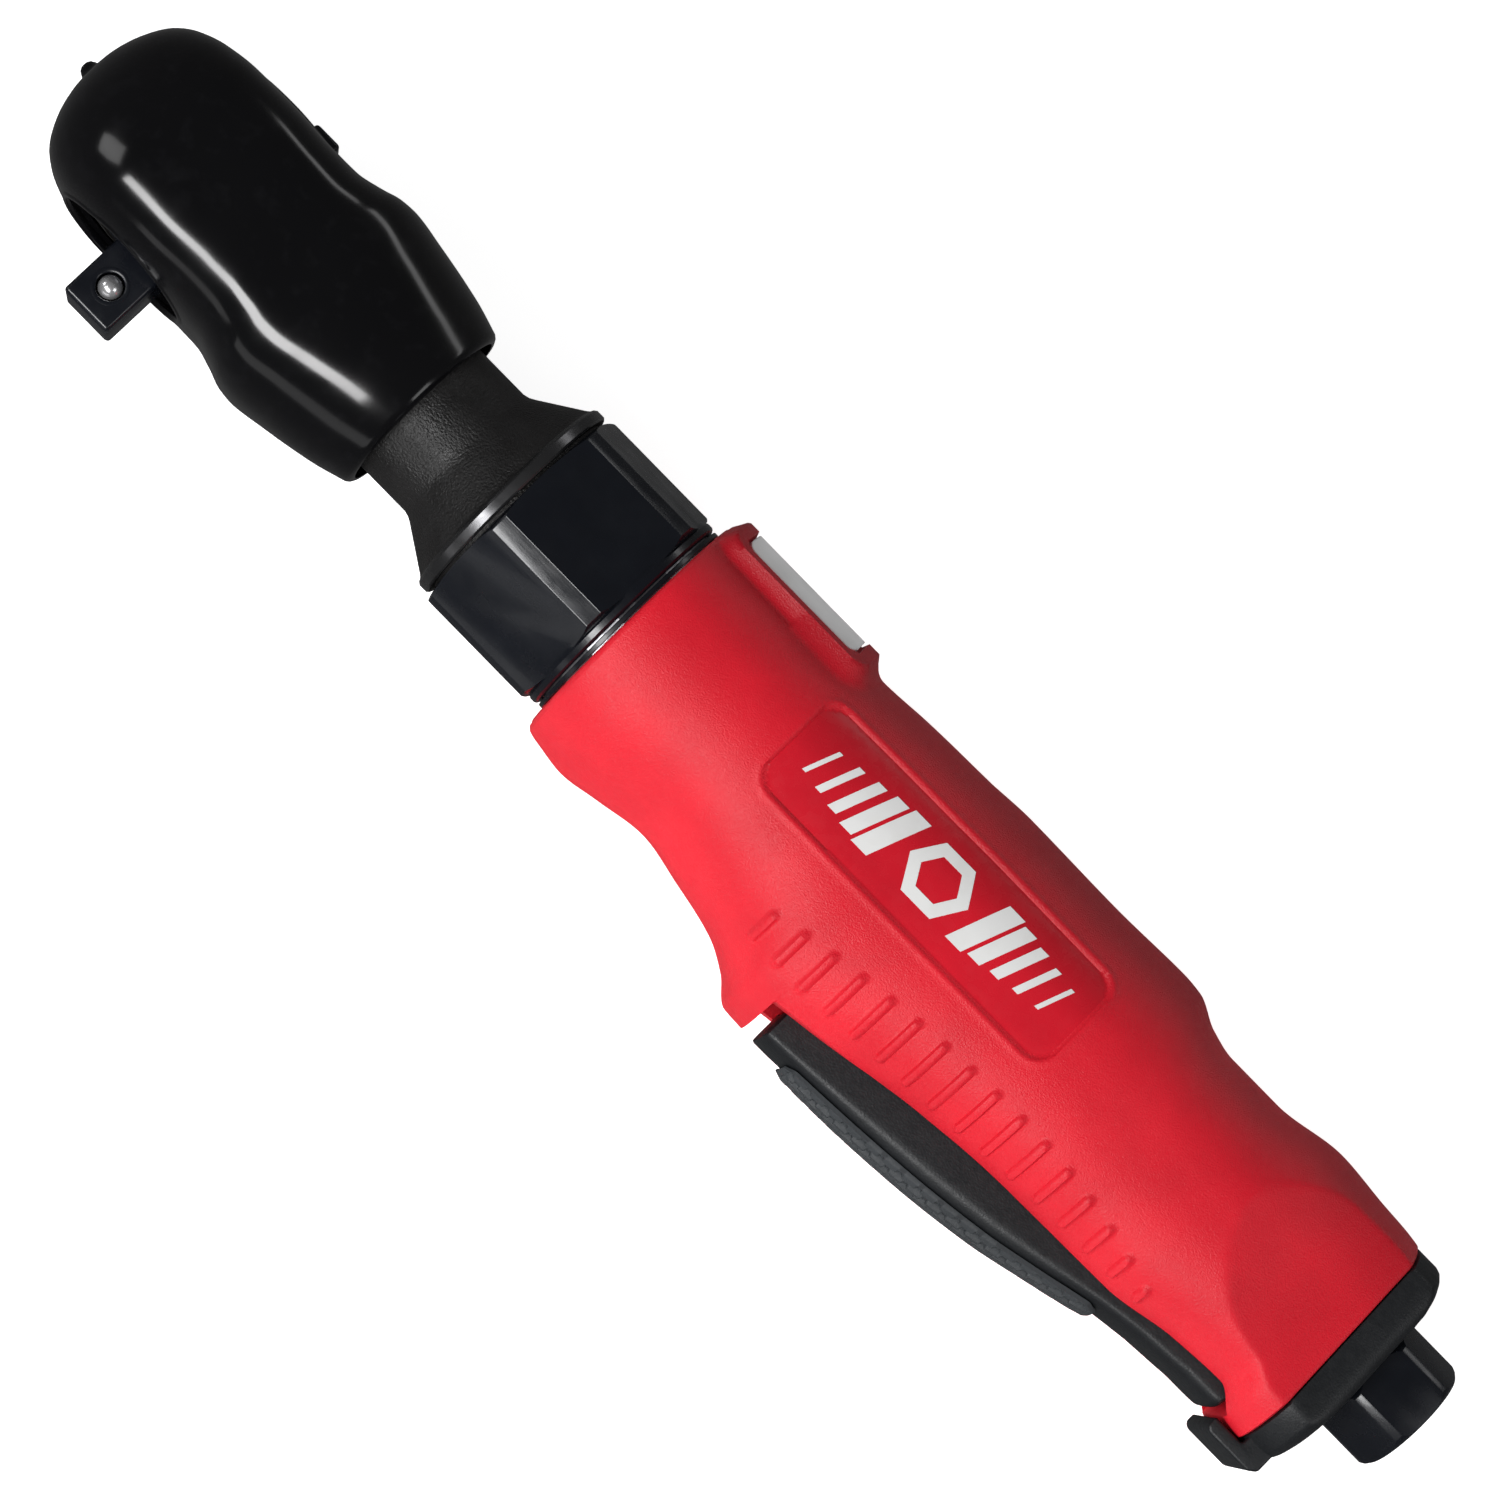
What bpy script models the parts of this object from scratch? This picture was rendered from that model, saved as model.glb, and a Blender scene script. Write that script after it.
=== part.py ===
"""Pneumatic ratchet wrench with a 3/8 inch square drive, modelled piece by piece.

The tool lies on its side. +X runs from the head to the air inlet, -Y is the way the drive
square points, and +Z is up. Sizes are in millimetres from the crossing of the tool axis and
the drive axis; the helpers turn them into metres, and one empty moves the whole tool so
that the scene's origin is the centre of the drive square's end face.
"""

import math

import bmesh
import bpy
import numpy as np
from mathutils import Vector

MM = 0.001
GAP = 0.3

# Driving dimensions.
DRIVE_SQUARE = 9.525
DRIVE_REACH = 27.7
INLET_HEX = 19.05
NECK_RADIUS = 13.1
FLANGE_RADIUS = 19.6
NUT_ROUND = 21.0
NUT_FLAT = 18.9
NUT_TURN = 18.7
HANDLE_START = 94.0
HANDLE_END = 250.4
INLET_END = 269.2
MODULE = 0.6
SUN_TEETH = 12
PLANET_TEETH = 15
RING_TEETH = 42
PLANET_COUNT = 3
PLANET_ORBIT = MODULE * (SUN_TEETH + PLANET_TEETH) / 2
CRANK_THROW = 1.5
ROTOR_RADIUS = 10.9
LINER_OFFSET = 1.1
VANE_COUNT = 4
MOTOR_START = 95.4
MOTOR_END = 147.0
LEVER_PIVOT = (241.5, -15.8, 0.0)
LEVER_HALF = 9.0
LEVER_ROUND = 0.7
VALVE_X = 203.0
FLAT_TILT = math.radians(8.6)
DETENT_Y = -22.2

# Boot outline: x, half height, half width, squareness.
HEAD_STATIONS = np.array([
    (-27.2, 2.0, 3.0, 2.2),
    (-26.4, 6.4, 7.2, 2.3),
    (-25.0, 10.2, 10.6, 2.4),
    (-22.3, 14.0, 14.4, 2.5),
    (-19.0, 16.0, 17.2, 2.6),
    (-14.0, 17.3, 20.0, 2.7),
    (-8.0, 17.8, 21.9, 2.8),
    (0.0, 17.9, 22.5, 2.8),
    (9.0, 17.6, 22.3, 2.7),
    (14.0, 17.8, 21.7, 2.6),
    (18.5, 19.2, 21.2, 2.4),
    (22.0, 20.4, 21.0, 2.2),
    (24.8, 20.6, 20.8, 2.0),
    (31.0, 19.8, 19.9, 2.0),
    (40.5, 18.2, 18.2, 2.0),
    (47.2, 16.3, 16.3, 2.0),
])

# Handle outline: x, height above the axis, depth below it, half width, squareness below.
HANDLE_STATIONS = [
    (HANDLE_START, 21.4, 22.4, 21.2, 2.0),
    (95.0, 22.1, 23.3, 21.9, 2.0),
    (98.0, 22.3, 23.9, 22.0, 2.0),
    (103.0, 22.3, 24.5, 22.0, 2.0),
    (110.0, 22.2, 23.4, 21.8, 2.0),
    (119.0, 22.0, 22.0, 21.6, 2.1),
    (128.0, 21.9, 23.5, 21.5, 2.2),
    (137.8, 22.5, 25.7, 21.5, 2.3),
    (143.0, 22.7, 28.4, 21.5, 2.4),
    (147.5, 22.8, 32.0, 21.5, 2.4),
    (151.4, 22.9, 32.2, 21.5, 2.4),
    (151.6, 22.9, 28.4, 21.5, 2.7),
    (160.0, 23.4, 27.2, 21.5, 2.7),
    (179.0, 23.2, 24.0, 21.3, 2.7),
    (194.3, 23.6, 22.6, 21.0, 2.7),
    (198.0, 23.3, 22.5, 20.8, 2.7),
    (203.7, 20.7, 22.5, 20.2, 2.7),
    (209.0, 19.6, 22.5, 19.7, 2.7),
    (219.0, 19.6, 22.4, 19.4, 2.7),
    (232.0, 21.4, 20.2, 19.8, 2.7),
    (242.0, 20.6, 19.6, 19.7, 2.7),
    (247.0, 20.3, 23.1, 19.6, 2.7),
    (HANDLE_END, 19.9, 23.6, 19.4, 2.7),
]

# Lever outline: x, top, crease, underside, inner floor.
LEVER_STATIONS = [
    (154.2, -25.5, -30.2, -32.2, -25.9),
    (156.6, -25.1, -30.0, -32.2, -25.5),
    (156.8, -25.1, -30.0, -32.2, -29.2),
    (170.0, -22.6, -28.6, -31.8, -28.8),
    (184.0, -21.0, -26.9, -31.0, -28.0),
    (200.0, -20.0, -25.0, -29.0, -26.4),
    (210.0, -19.5, -23.6, -26.8, -24.6),
    (221.0, -18.9, -21.8, -24.2, -22.2),
    (229.0, -18.5, -20.6, -23.1, -21.6),
    (229.2, -18.5, -20.6, -23.1, -18.8),
    (235.0, -18.3, -20.2, -22.7, -18.6),
    (238.0, -14.6, -19.8, -22.5, -14.9),
    (239.5, -13.9, -19.8, -22.5, -14.2),
    (243.5, -13.9, -19.8, -22.4, -14.2),
    (244.7, -14.6, -19.6, -21.8, -14.9),
]

# Pad outline: x, underside, half width.
PAD_STATIONS = [
    (160.0, -32.9, 5.6),
    (162.0, -33.4, 7.4),
    (170.0, -33.3, 7.4),
    (184.0, -32.5, 7.4),
    (200.0, -30.5, 7.4),
    (210.0, -28.3, 7.4),
    (219.0, -26.1, 7.4),
    (221.0, -25.5, 5.6),
]

COLOURS = {
    "vinyl": ((0.010, 0.010, 0.011), 0.25, 0.0),
    "cast_black": ((0.030, 0.027, 0.024), 0.55, 0.4),
    "black_oxide": ((0.030, 0.033, 0.040), 0.35, 0.9),
    "steel": ((0.50, 0.50, 0.52), 0.35, 1.0),
    "polished_steel": ((0.78, 0.78, 0.80), 0.12, 1.0),
    "spring_steel": ((0.35, 0.35, 0.37), 0.4, 1.0),
    "brass": ((0.60, 0.43, 0.16), 0.35, 1.0),
    "red_composite": ((0.60, 0.012, 0.030), 0.4, 0.0),
    "grey_composite": ((0.045, 0.045, 0.048), 0.5, 0.0),
    "pad_rubber": ((0.075, 0.078, 0.080), 0.7, 0.0),
    "vane_resin": ((0.20, 0.11, 0.05), 0.6, 0.0),
    "aluminium": ((0.72, 0.72, 0.70), 0.35, 1.0),
    "muffler_felt": ((0.35, 0.34, 0.31), 0.9, 0.0),
    "seal_rubber": ((0.012, 0.012, 0.012), 0.6, 0.0),
}

ORIENT = {
    "X": (math.radians(90), 0, math.radians(90)),
    "Y": (math.radians(-90), 0, 0),
    "Z": (0, 0, 0),
}


def clear_scene():
    for obj in list(bpy.data.objects):
        bpy.data.objects.remove(obj, do_unlink=True)


def new_collection(name):
    collection = bpy.data.collections.new(name)
    bpy.context.scene.collection.children.link(collection)
    return collection


def metres(values):
    return Vector(values) * MM


def finish_of(name):
    """The Principled material of this name, made on first use."""
    found = bpy.data.materials.get(name)
    if found:
        return found
    colour, roughness, metallic = COLOURS[name]
    made = bpy.data.materials.new(name)
    made.use_nodes = True
    shader = made.node_tree.nodes["Principled BSDF"]
    shader.inputs["Base Color"].default_value = (*colour, 1.0)
    shader.inputs["Roughness"].default_value = roughness
    shader.inputs["Metallic"].default_value = metallic
    made.diffuse_color = (*colour, 1.0)
    return made


def axis_empty(name, location, parent):
    empty = bpy.data.objects.new(name, None)
    empty.location = metres(location)
    empty.parent = parent
    empty.empty_display_size = 0.01
    PARTS.objects.link(empty)
    return empty


def place(name, mesh, finish, along="Z", at=(0, 0, 0), parent=None):
    """Adds the mesh to the tool, with its local Z along the named axis."""
    obj = bpy.data.objects.new(name, mesh)
    obj.rotation_euler = ORIENT[along]
    obj.location = metres(at)
    obj.parent = parent or TOOL
    if finish:
        mesh.materials.append(finish_of(finish))
    PARTS.objects.link(obj)
    return obj


def shade(obj, angle=32):
    obj.data.shade_smooth()
    obj.data.set_sharp_from_angle(angle=math.radians(angle))
    return obj


def turned(name, outer, inner=(), finish=None, along="X", at=(0, 0, 0), parent=None, steps=24):
    """A turned piece: (station, radius) pairs up its outside, and up its bore if it has one."""
    profile = list(reversed(outer)) + list(inner)
    if not inner:
        profile = [(outer[-1][0], 0.0)] + profile + [(outer[0][0], 0.0)]
    mesh = bpy.data.meshes.new(name)
    bm = bmesh.new()
    verts = [bm.verts.new(metres((radius, 0, station))) for station, radius in profile]
    for first, second in zip(verts, verts[1:]):
        bm.edges.new((first, second))
    if inner:
        bm.edges.new((verts[-1], verts[0]))
    bm.to_mesh(mesh)
    bm.free()
    obj = place(name, mesh, finish, along, at, parent)
    screw = obj.modifiers.new("Turn", "SCREW")
    screw.steps = steps
    screw.render_steps = steps
    screw.use_merge_vertices = True
    screw.merge_threshold = 0.00001
    return obj


def tube(name, outer, inner, start, end, **options):
    return turned(name, [(start, outer), (end, outer)], [(start, inner), (end, inner)], **options)


def rod(name, radius, start, end, **options):
    return turned(name, [(start, radius), (end, radius)], **options)


def extruded(name, outlines, thickness, finish=None, along="Z", at=(0, 0, 0), parent=None):
    """A flat outline, with holes, given a thickness centred on its plane."""
    curve = bpy.data.curves.new(name, "CURVE")
    curve.dimensions = "2D"
    curve.fill_mode = "BOTH"
    curve.extrude = thickness / 2 * MM
    for outline in outlines:
        spline = curve.splines.new("POLY")
        spline.points.add(len(outline) - 1)
        for point, (x, y) in zip(spline.points, outline):
            point.co = (x * MM, y * MM, 0, 1)
        spline.use_cyclic_u = True
    return as_mesh(name, curve, finish, along, at, parent)


def as_mesh(name, curve, finish, along, at, parent):
    """The curve as a welded mesh object, so that it can be cut."""
    draft = bpy.data.objects.new(name + "_curve", curve)
    PARTS.objects.link(draft)
    graph = bpy.context.evaluated_depsgraph_get()
    mesh = bpy.data.meshes.new_from_object(draft.evaluated_get(graph))
    bpy.data.objects.remove(draft, do_unlink=True)
    bm = bmesh.new()
    bm.from_mesh(mesh)
    bmesh.ops.remove_doubles(bm, verts=bm.verts, dist=0.000001)
    bmesh.ops.recalc_face_normals(bm, faces=bm.faces)
    bm.to_mesh(mesh)
    bm.free()
    mesh.name = name
    return place(name, mesh, finish, along, at, parent)


def lofted(name, rings, finish=None, origin=(0, 0, 0), parent=None, closed=False):
    """Skins rings of equal length; closed joins the last ring to the first, as in a tube."""
    mesh = bpy.data.meshes.new(name)
    bm = bmesh.new()
    shift = Vector(origin)
    loops = [[bm.verts.new((Vector(point) - shift) * MM) for point in ring] for ring in rings]
    pairs = list(zip(loops, loops[1:]))
    if closed:
        pairs.append((loops[-1], loops[0]))
    else:
        bm.faces.new(loops[0])
        bm.faces.new(loops[-1])
    for near, far in pairs:
        for i in range(len(near)):
            bm.faces.new((near[i], near[i - 1], far[i - 1], far[i]))
    bmesh.ops.recalc_face_normals(bm, faces=bm.faces)
    bm.to_mesh(mesh)
    bm.free()
    return place(name, mesh, finish, "Z", origin, parent)


def block(name, low, high, finish=None, parent=None):
    mesh = bpy.data.meshes.new(name)
    bm = bmesh.new()
    bmesh.ops.create_cube(bm, size=1)
    size = Vector(high) - Vector(low)
    bmesh.ops.scale(bm, vec=size * MM, verts=bm.verts)
    bm.to_mesh(mesh)
    bm.free()
    middle = (Vector(high) + Vector(low)) / 2
    return place(name, mesh, finish, "Z", middle, parent)


def ball(name, radius, at, finish, parent):
    mesh = bpy.data.meshes.new(name)
    bm = bmesh.new()
    bmesh.ops.create_uvsphere(bm, u_segments=16, v_segments=10, radius=radius * MM)
    bm.to_mesh(mesh)
    bm.free()
    return shade(place(name, mesh, finish, "Z", at, parent), 60)


def coil(name, radius, wire, start, end, turns, finish, along, at, parent):
    """A compression spring along the named axis, from start to end."""
    curve = bpy.data.curves.new(name, "CURVE")
    curve.dimensions = "3D"
    curve.bevel_depth = wire / 2 * MM
    curve.bevel_resolution = 0
    curve.use_fill_caps = True
    count = turns * 8 + 1
    spline = curve.splines.new("POLY")
    spline.points.add(count - 1)
    low, high = start + wire / 2, end - wire / 2
    for i, point in enumerate(spline.points):
        angle = math.tau * turns * i / (count - 1)
        rise = low + (high - low) * i / (count - 1)
        x, y = radius * math.cos(angle), radius * math.sin(angle)
        point.co = (x * MM, y * MM, rise * MM, 1)
    return as_mesh(name, curve, finish, along, at, parent)


def combine(target, operation, *others):
    """Cuts the others from the target, or joins them to it, and puts them away as helpers."""
    for other in others:
        modifier = target.modifiers.new(other.name, "BOOLEAN")
        modifier.operation = operation
        modifier.object = other
        other.hide_render = True
        other.display_type = "WIRE"
        PARTS.objects.unlink(other)
        CUTTERS.objects.link(other)
    return target


def cut(target, *others):
    return combine(target, "DIFFERENCE", *others)


def join(target, *others):
    return combine(target, "UNION", *others)


def arc(radius, start, end, steps, centre=(0.0, 0.0)):
    """Points along an arc, in degrees, ends included."""
    angles = [math.radians(start + (end - start) * i / steps) for i in range(steps + 1)]
    return [(centre[0] + radius * math.cos(a), centre[1] + radius * math.sin(a)) for a in angles]


def circle(radius, steps=24, centre=(0.0, 0.0)):
    return arc(radius, 0, 360, steps, centre)[:-1]


def on_circle(radius, degrees, x=0.0):
    """A point round the tool axis; zero degrees is the top, +Y, and the angle turns to +Z."""
    angle = math.radians(degrees)
    return (x, radius * math.cos(angle), radius * math.sin(angle))


def gear_outline(teeth, pitch_radius, tip, root, phase=0.0, slack=0.25):
    """Straight-sided teeth, thinned at the pitch circle by the slack that lets them run."""
    pitch = math.tau * pitch_radius / teeth
    slope = math.tan(math.radians(20))
    outline = []
    for i in range(teeth):
        middle = phase + math.tau * i / teeth
        for radius, side in ((root, -1), (tip, -1), (tip, 1), (root, 1)):
            outward = (radius - pitch_radius) * math.copysign(1, tip - root)
            width = pitch / 2 - slack - 2 * outward * slope
            angle = middle + side * width / 2 / radius
            outline.append((radius * math.cos(angle), radius * math.sin(angle)))
    return outline


def superellipse(x, top, bottom, half_width, power_top, power_bottom, count=24):
    """One ring round the tool axis, with a flat facet at each side."""
    ring = []
    for i in range(count):
        angle = math.tau * (i + 0.5) / count
        across, up = math.cos(angle), math.sin(angle)
        power = power_top if up > 0 else power_bottom
        reach = top if up > 0 else bottom
        z = math.copysign(abs(across) ** (2 / power), across) * half_width
        y = math.copysign(abs(up) ** (2 / power), up) * reach
        ring.append((x, y, z))
    return ring


def head_rings(inset, stations, count=24):
    """The head's outline drawn in by the inset, which also shortens its nose."""
    nose = -HEAD_STATIONS[0, 0]
    rings = []
    for x in stations:
        source = x * nose / (nose - inset) if x < 0 else x
        height, width, power = (np.interp(source, HEAD_STATIONS[:, 0], column)
                                for column in HEAD_STATIONS[:, 1:].T)
        height = max(height - inset, 0.8)
        width = max(width - inset, 0.8)
        rings.append(superellipse(x, height, height, width, power, power, count))
    return rings


def make_boot():
    """Dip-moulded boot with its drip nub, the drive hole below and the knob hole above."""
    stations = list(HEAD_STATIONS[:, 0])
    nub = [superellipse(x, r, r, r, 2, 2) for x, r in ((-29.1, 0.7), (-28.7, 1.3), (-27.6, 1.6))]
    boot = lofted("boot", nub + head_rings(0, stations), "vinyl")
    inside = [-25.0, -24.2, -22.3, -19.0, -14.0, -8.0, 0.0, 9.0, 18.5, 24.8, 37.0, 47.1]
    hollow = lofted("boot_hollow", head_rings(2.0, inside, 24))
    mouth = rod("boot_mouth", 15.0, 44.0, 49.0)
    drive_hole = rod("boot_drive_hole", 12.7, -30, -8, along="Y", at=(-2.7, 0, 0))
    knob_hole = rod("boot_knob_hole", 9.7, 8, 30, along="Y")
    return shade(cut(boot, hollow, mouth, drive_hole, knob_hole), 50)


def make_housing():
    """Cast head, neck and flange, bored for the yoke, the crank and the gear train."""
    stations = [-24.0, -22.6, -20.3, -17.3, -12.8, -7.3, 0, 9, 18.5, 24.8, 37]
    taper = [superellipse(43.0, 13.0, 13.0, 13.0, 2, 2, 24)]
    housing = lofted("ratchet_housing", head_rings(2.4, stations, 24) + taper, "cast_black")
    neck = turned("housing_neck", [
        (33, NECK_RADIUS), (57.2, NECK_RADIUS), (65.7, 18.8), (66.1, FLANGE_RADIUS),
        (68.1, FLANGE_RADIUS), (68.1, 17.9), (80, 17.9)], steps=40)
    chamber = rod("housing_chamber", 17.4, -6.8, 5.6, along="Y", steps=32)
    fork_room = block("housing_fork_room", (8, -5.7, -12.2), (33, 5.5, 12.2))
    drive_bore = rod("housing_drive_bore", 10.2, -20, -5, along="Y")
    knob_bore = turned("housing_knob_bore", [(5, 8.8), (13, 8.8), (13, 10.4), (20, 10.4)], along="Y")
    crank_bore = turned("housing_crank_bore", [
        (30, 7.9), (66, 7.9), (66, 13.6), (70, 13.6), (70, 17.3), (81, 17.3)])
    join(housing, neck)
    return shade(cut(housing, chamber, fork_room, drive_bore, knob_bore, crank_bore))


def make_anvil(axis):
    """Drive anvil: the slotted disc that holds the pawl, two journals and the square."""
    half = DRIVE_SQUARE / 2
    anvil = turned("drive_anvil", [
        (-15.0, 9.3), (-14.4, 9.9), (-5.3, 9.9), (-5.3, 11.5), (5.3, 11.5), (5.3, 8.4),
        (13.3, 8.4), (13.3, 7.6), (14.3, 7.6), (14.3, 8.4), (14.8, 8.4)],
        finish="black_oxide", along="Y", parent=axis)
    square = block("anvil_square", (-half, -DRIVE_REACH, -half), (half, -13.5, half), parent=axis)
    edge = square.modifiers.new("Edge", "BEVEL")
    edge.width = 0.7 * MM
    edge.segments = 1
    edge.limit_method = "ANGLE"
    slot = block("anvil_pawl_slot", (-14, -4.1, -14), (-1.2, 4.1, 14), parent=axis)
    bore = rod("anvil_knob_bore", 5.0, -4.6, 16, along="Y", parent=axis)
    pin_hole = rod("anvil_pin_hole", 1.8, -6, 6, along="Y", at=(-8.2, 0, 0), parent=axis, steps=12)
    detent_hole = rod("anvil_detent_hole", 2.3, -3.4, 8, at=(0, DETENT_Y, 0), along="Z",
                      parent=axis, steps=20)
    join(anvil, square)
    shade(cut(anvil, slot, bore, pin_hole, detent_hole))
    ball("detent_ball", 2.0, (0, DETENT_Y, 3.9), "polished_steel", axis)
    coil("detent_spring", 1.4, 0.5, -3.1, 1.6, 4, "spring_steel", "Z", (0, DETENT_Y, 0), axis)
    pawl_outline = arc(11.5, 133, 227, 10) + [(-6.6, -8.6), (-5.3, -2.6), (-5.3, 2.6), (-6.6, 8.6)]
    pawl_pivot = axis_empty("pawl_axis", (-8.2, 0, 0), axis)
    shifted = [(x + 8.2, z) for x, z in pawl_outline]
    extruded("pawl", [shifted, circle(1.8, 12)], 7.4, "steel", "Y", parent=pawl_pivot)
    rod("pawl_pin", 1.5, -5.2, 5.2, finish="steel", along="Y", at=(-8.2, 0, 0), parent=axis, steps=12)
    clip = arc(10.1, 20, 340, 20) + list(reversed(arc(7.9, 20, 340, 20)))
    extruded("retaining_ring", [clip], 0.7, "spring_steel", "Y", at=(0, 13.8, 0), parent=axis)


def make_knob(axis):
    """Reverse knob: its stem carries the plunger that biases the pawl."""
    knob = turned("reverse_knob", [
        (-4.2, 4.6), (15.1, 4.6), (15.1, 8.9), (16.7, 8.9), (17.3, 8.2)],
        finish="black_oxide", along="Y", parent=axis)
    tab = block("knob_tab", (3.1, 16.0, -3.2), (8.4, 19.6, 3.2), parent=axis)
    cross_hole = rod("knob_cross_hole", 1.6, -6, 3.4, along="X", parent=axis, steps=12)
    join(knob, tab)
    shade(cut(knob, cross_hole))
    turned("pawl_plunger", [(-4.9, 0.6), (-4.3, 1.3), (-1.4, 1.3)], finish="steel", parent=axis, steps=12)
    coil("plunger_spring", 1.0, 0.4, -1.1, 3.1, 4, "spring_steel", "X", (0, 0, 0), axis)


def make_yoke(axis):
    """Ratchet yoke: an internally toothed ring with the fork that the crank swings."""
    fork_half, fork_outer, fork_end = 6.3, 9.8, 30.5
    turn = math.degrees(math.asin(fork_outer / 16.9))
    inner_x = math.sqrt(16.9 ** 2 - fork_half ** 2)
    outline = arc(16.9, turn, 360 - turn, 32) + [
        (fork_end, -fork_outer + 1), (fork_end, -fork_half), (inner_x, -fork_half),
        (inner_x, fork_half), (fork_end, fork_half), (fork_end, fork_outer - 1)]
    teeth = 30
    notched = []
    for i in range(teeth):
        for share, radius in ((0.0, 13.5), (0.5, 12.4)):
            angle = math.tau * (i + share) / teeth
            notched.append((radius * math.cos(angle), radius * math.sin(angle)))
    extruded("ratchet_yoke", [outline, notched], 9.0, "steel", "Y", parent=axis)


def make_head(anvil_axis, knob_axis, yoke_axis):
    make_boot()
    make_housing()
    make_anvil(anvil_axis)
    make_knob(knob_axis)
    make_yoke(yoke_axis)
    tube("thrust_washer", 16.6, 10.5, -6.5, -5.7, finish="brass", along="Y")


def make_crank(axis):
    """Crankshaft: eccentric pin in front, planet carrier behind."""
    crank = turned("crankshaft", [
        (31.2, 6.6), (34.6, 6.6), (34.6, 4.6), (66.6, 4.6), (66.6, 13.0), (72.6, 13.0)],
        finish="steel", parent=axis)
    pin = rod("crank_pin", 2.2, 21.5, 33, at=(0, CRANK_THROW, 0), parent=axis, steps=20)
    join(crank, pin)
    centre = rod("crank_centre", 4.6, 70.5, 74, parent=axis)
    cut(crank, centre)
    for i in range(PLANET_COUNT):
        angle = 360 * i / PLANET_COUNT
        at = on_circle(PLANET_ORBIT, angle)
        cut(crank, rod(f"carrier_hole_{i + 1}", 1.8, 65, 75, at=at, parent=axis, steps=12))
        rod(f"planet_pin_{i + 1}", 1.5, 67, 84.4, finish="steel", at=at, parent=axis, steps=12)
    shade(crank)
    tube("drive_bushing", 3.2, 2.4, 22.0, 30.4, finish="brass", at=(0, CRANK_THROW, 0),
         parent=axis, steps=24)
    tube("crank_bearing", 7.6, 4.9, 37, 62, finish="steel")


def planet_phase(angle):
    """The turn that puts a planet in mesh with the sun when it stands at this angle."""
    tooth = math.tau / PLANET_TEETH
    return angle + math.pi - tooth * (0.5 - SUN_TEETH * angle / math.tau)


def make_gears(crank_axis):
    """Three planets on the carrier inside the fixed ring gear."""
    for i in range(PLANET_COUNT):
        angle = 360 * i / PLANET_COUNT
        outline = gear_outline(PLANET_TEETH, MODULE * PLANET_TEETH / 2, 5.0, 3.7,
                               planet_phase(math.radians(angle)))
        extruded(f"planet_gear_{i + 1}", [outline, circle(1.8, 12)], 8.4, "steel", "X",
                 at=on_circle(PLANET_ORBIT, angle, 79.0), parent=crank_axis)
    teeth = gear_outline(RING_TEETH, MODULE * RING_TEETH / 2, 12.1, 13.4, math.pi / RING_TEETH)
    extruded("ring_gear", [circle(17.0, 40), teeth], 12.0, "steel", "X", at=(80.0, 0, 0))


def faceted_ring(x, flat, round_radius, turn=0.0):
    """A hexagon whose corners are cut by a circle, four points to a side."""
    ring = []
    edge = math.degrees(math.acos(min(1.0, flat / round_radius)))
    for side in range(6):
        for offset in (-30.0, -edge, 0.0, edge):
            radius = min(round_radius, flat / math.cos(math.radians(offset)))
            ring.append(on_circle(radius, turn + 60 * side + offset, x))
    return ring


def round_ring(x, radius, like, turn=0.0):
    """A circle with its points at the same angles as the faceted ring."""
    flat, round_radius = like
    return [on_circle(radius, math.degrees(math.atan2(z, y)), x)
            for _, y, z in faceted_ring(x, flat, round_radius, turn)]


def make_clamp_nut():
    like = (NUT_FLAT, NUT_ROUND)
    rings = [round_ring(68.7, 18.85, like, NUT_TURN), faceted_ring(69.2, NUT_FLAT, 20.4, NUT_TURN),
             faceted_ring(69.6, NUT_FLAT, NUT_ROUND, NUT_TURN),
             faceted_ring(90.4, NUT_FLAT, NUT_ROUND, NUT_TURN)]
    rings += [round_ring(x, r, like, NUT_TURN) for x, r in (
        (91.0, 19.6), (92.1, 19.6), (92.6, 19.1), (92.6, 18.5), (68.7, 18.5))]
    shade(lofted("clamp_nut", rings, "black_oxide", closed=True), 20)
    tube("spacer_ring", 19.4, 18.7, 92.9, 93.7, finish="black_oxide", steps=32)


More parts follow.
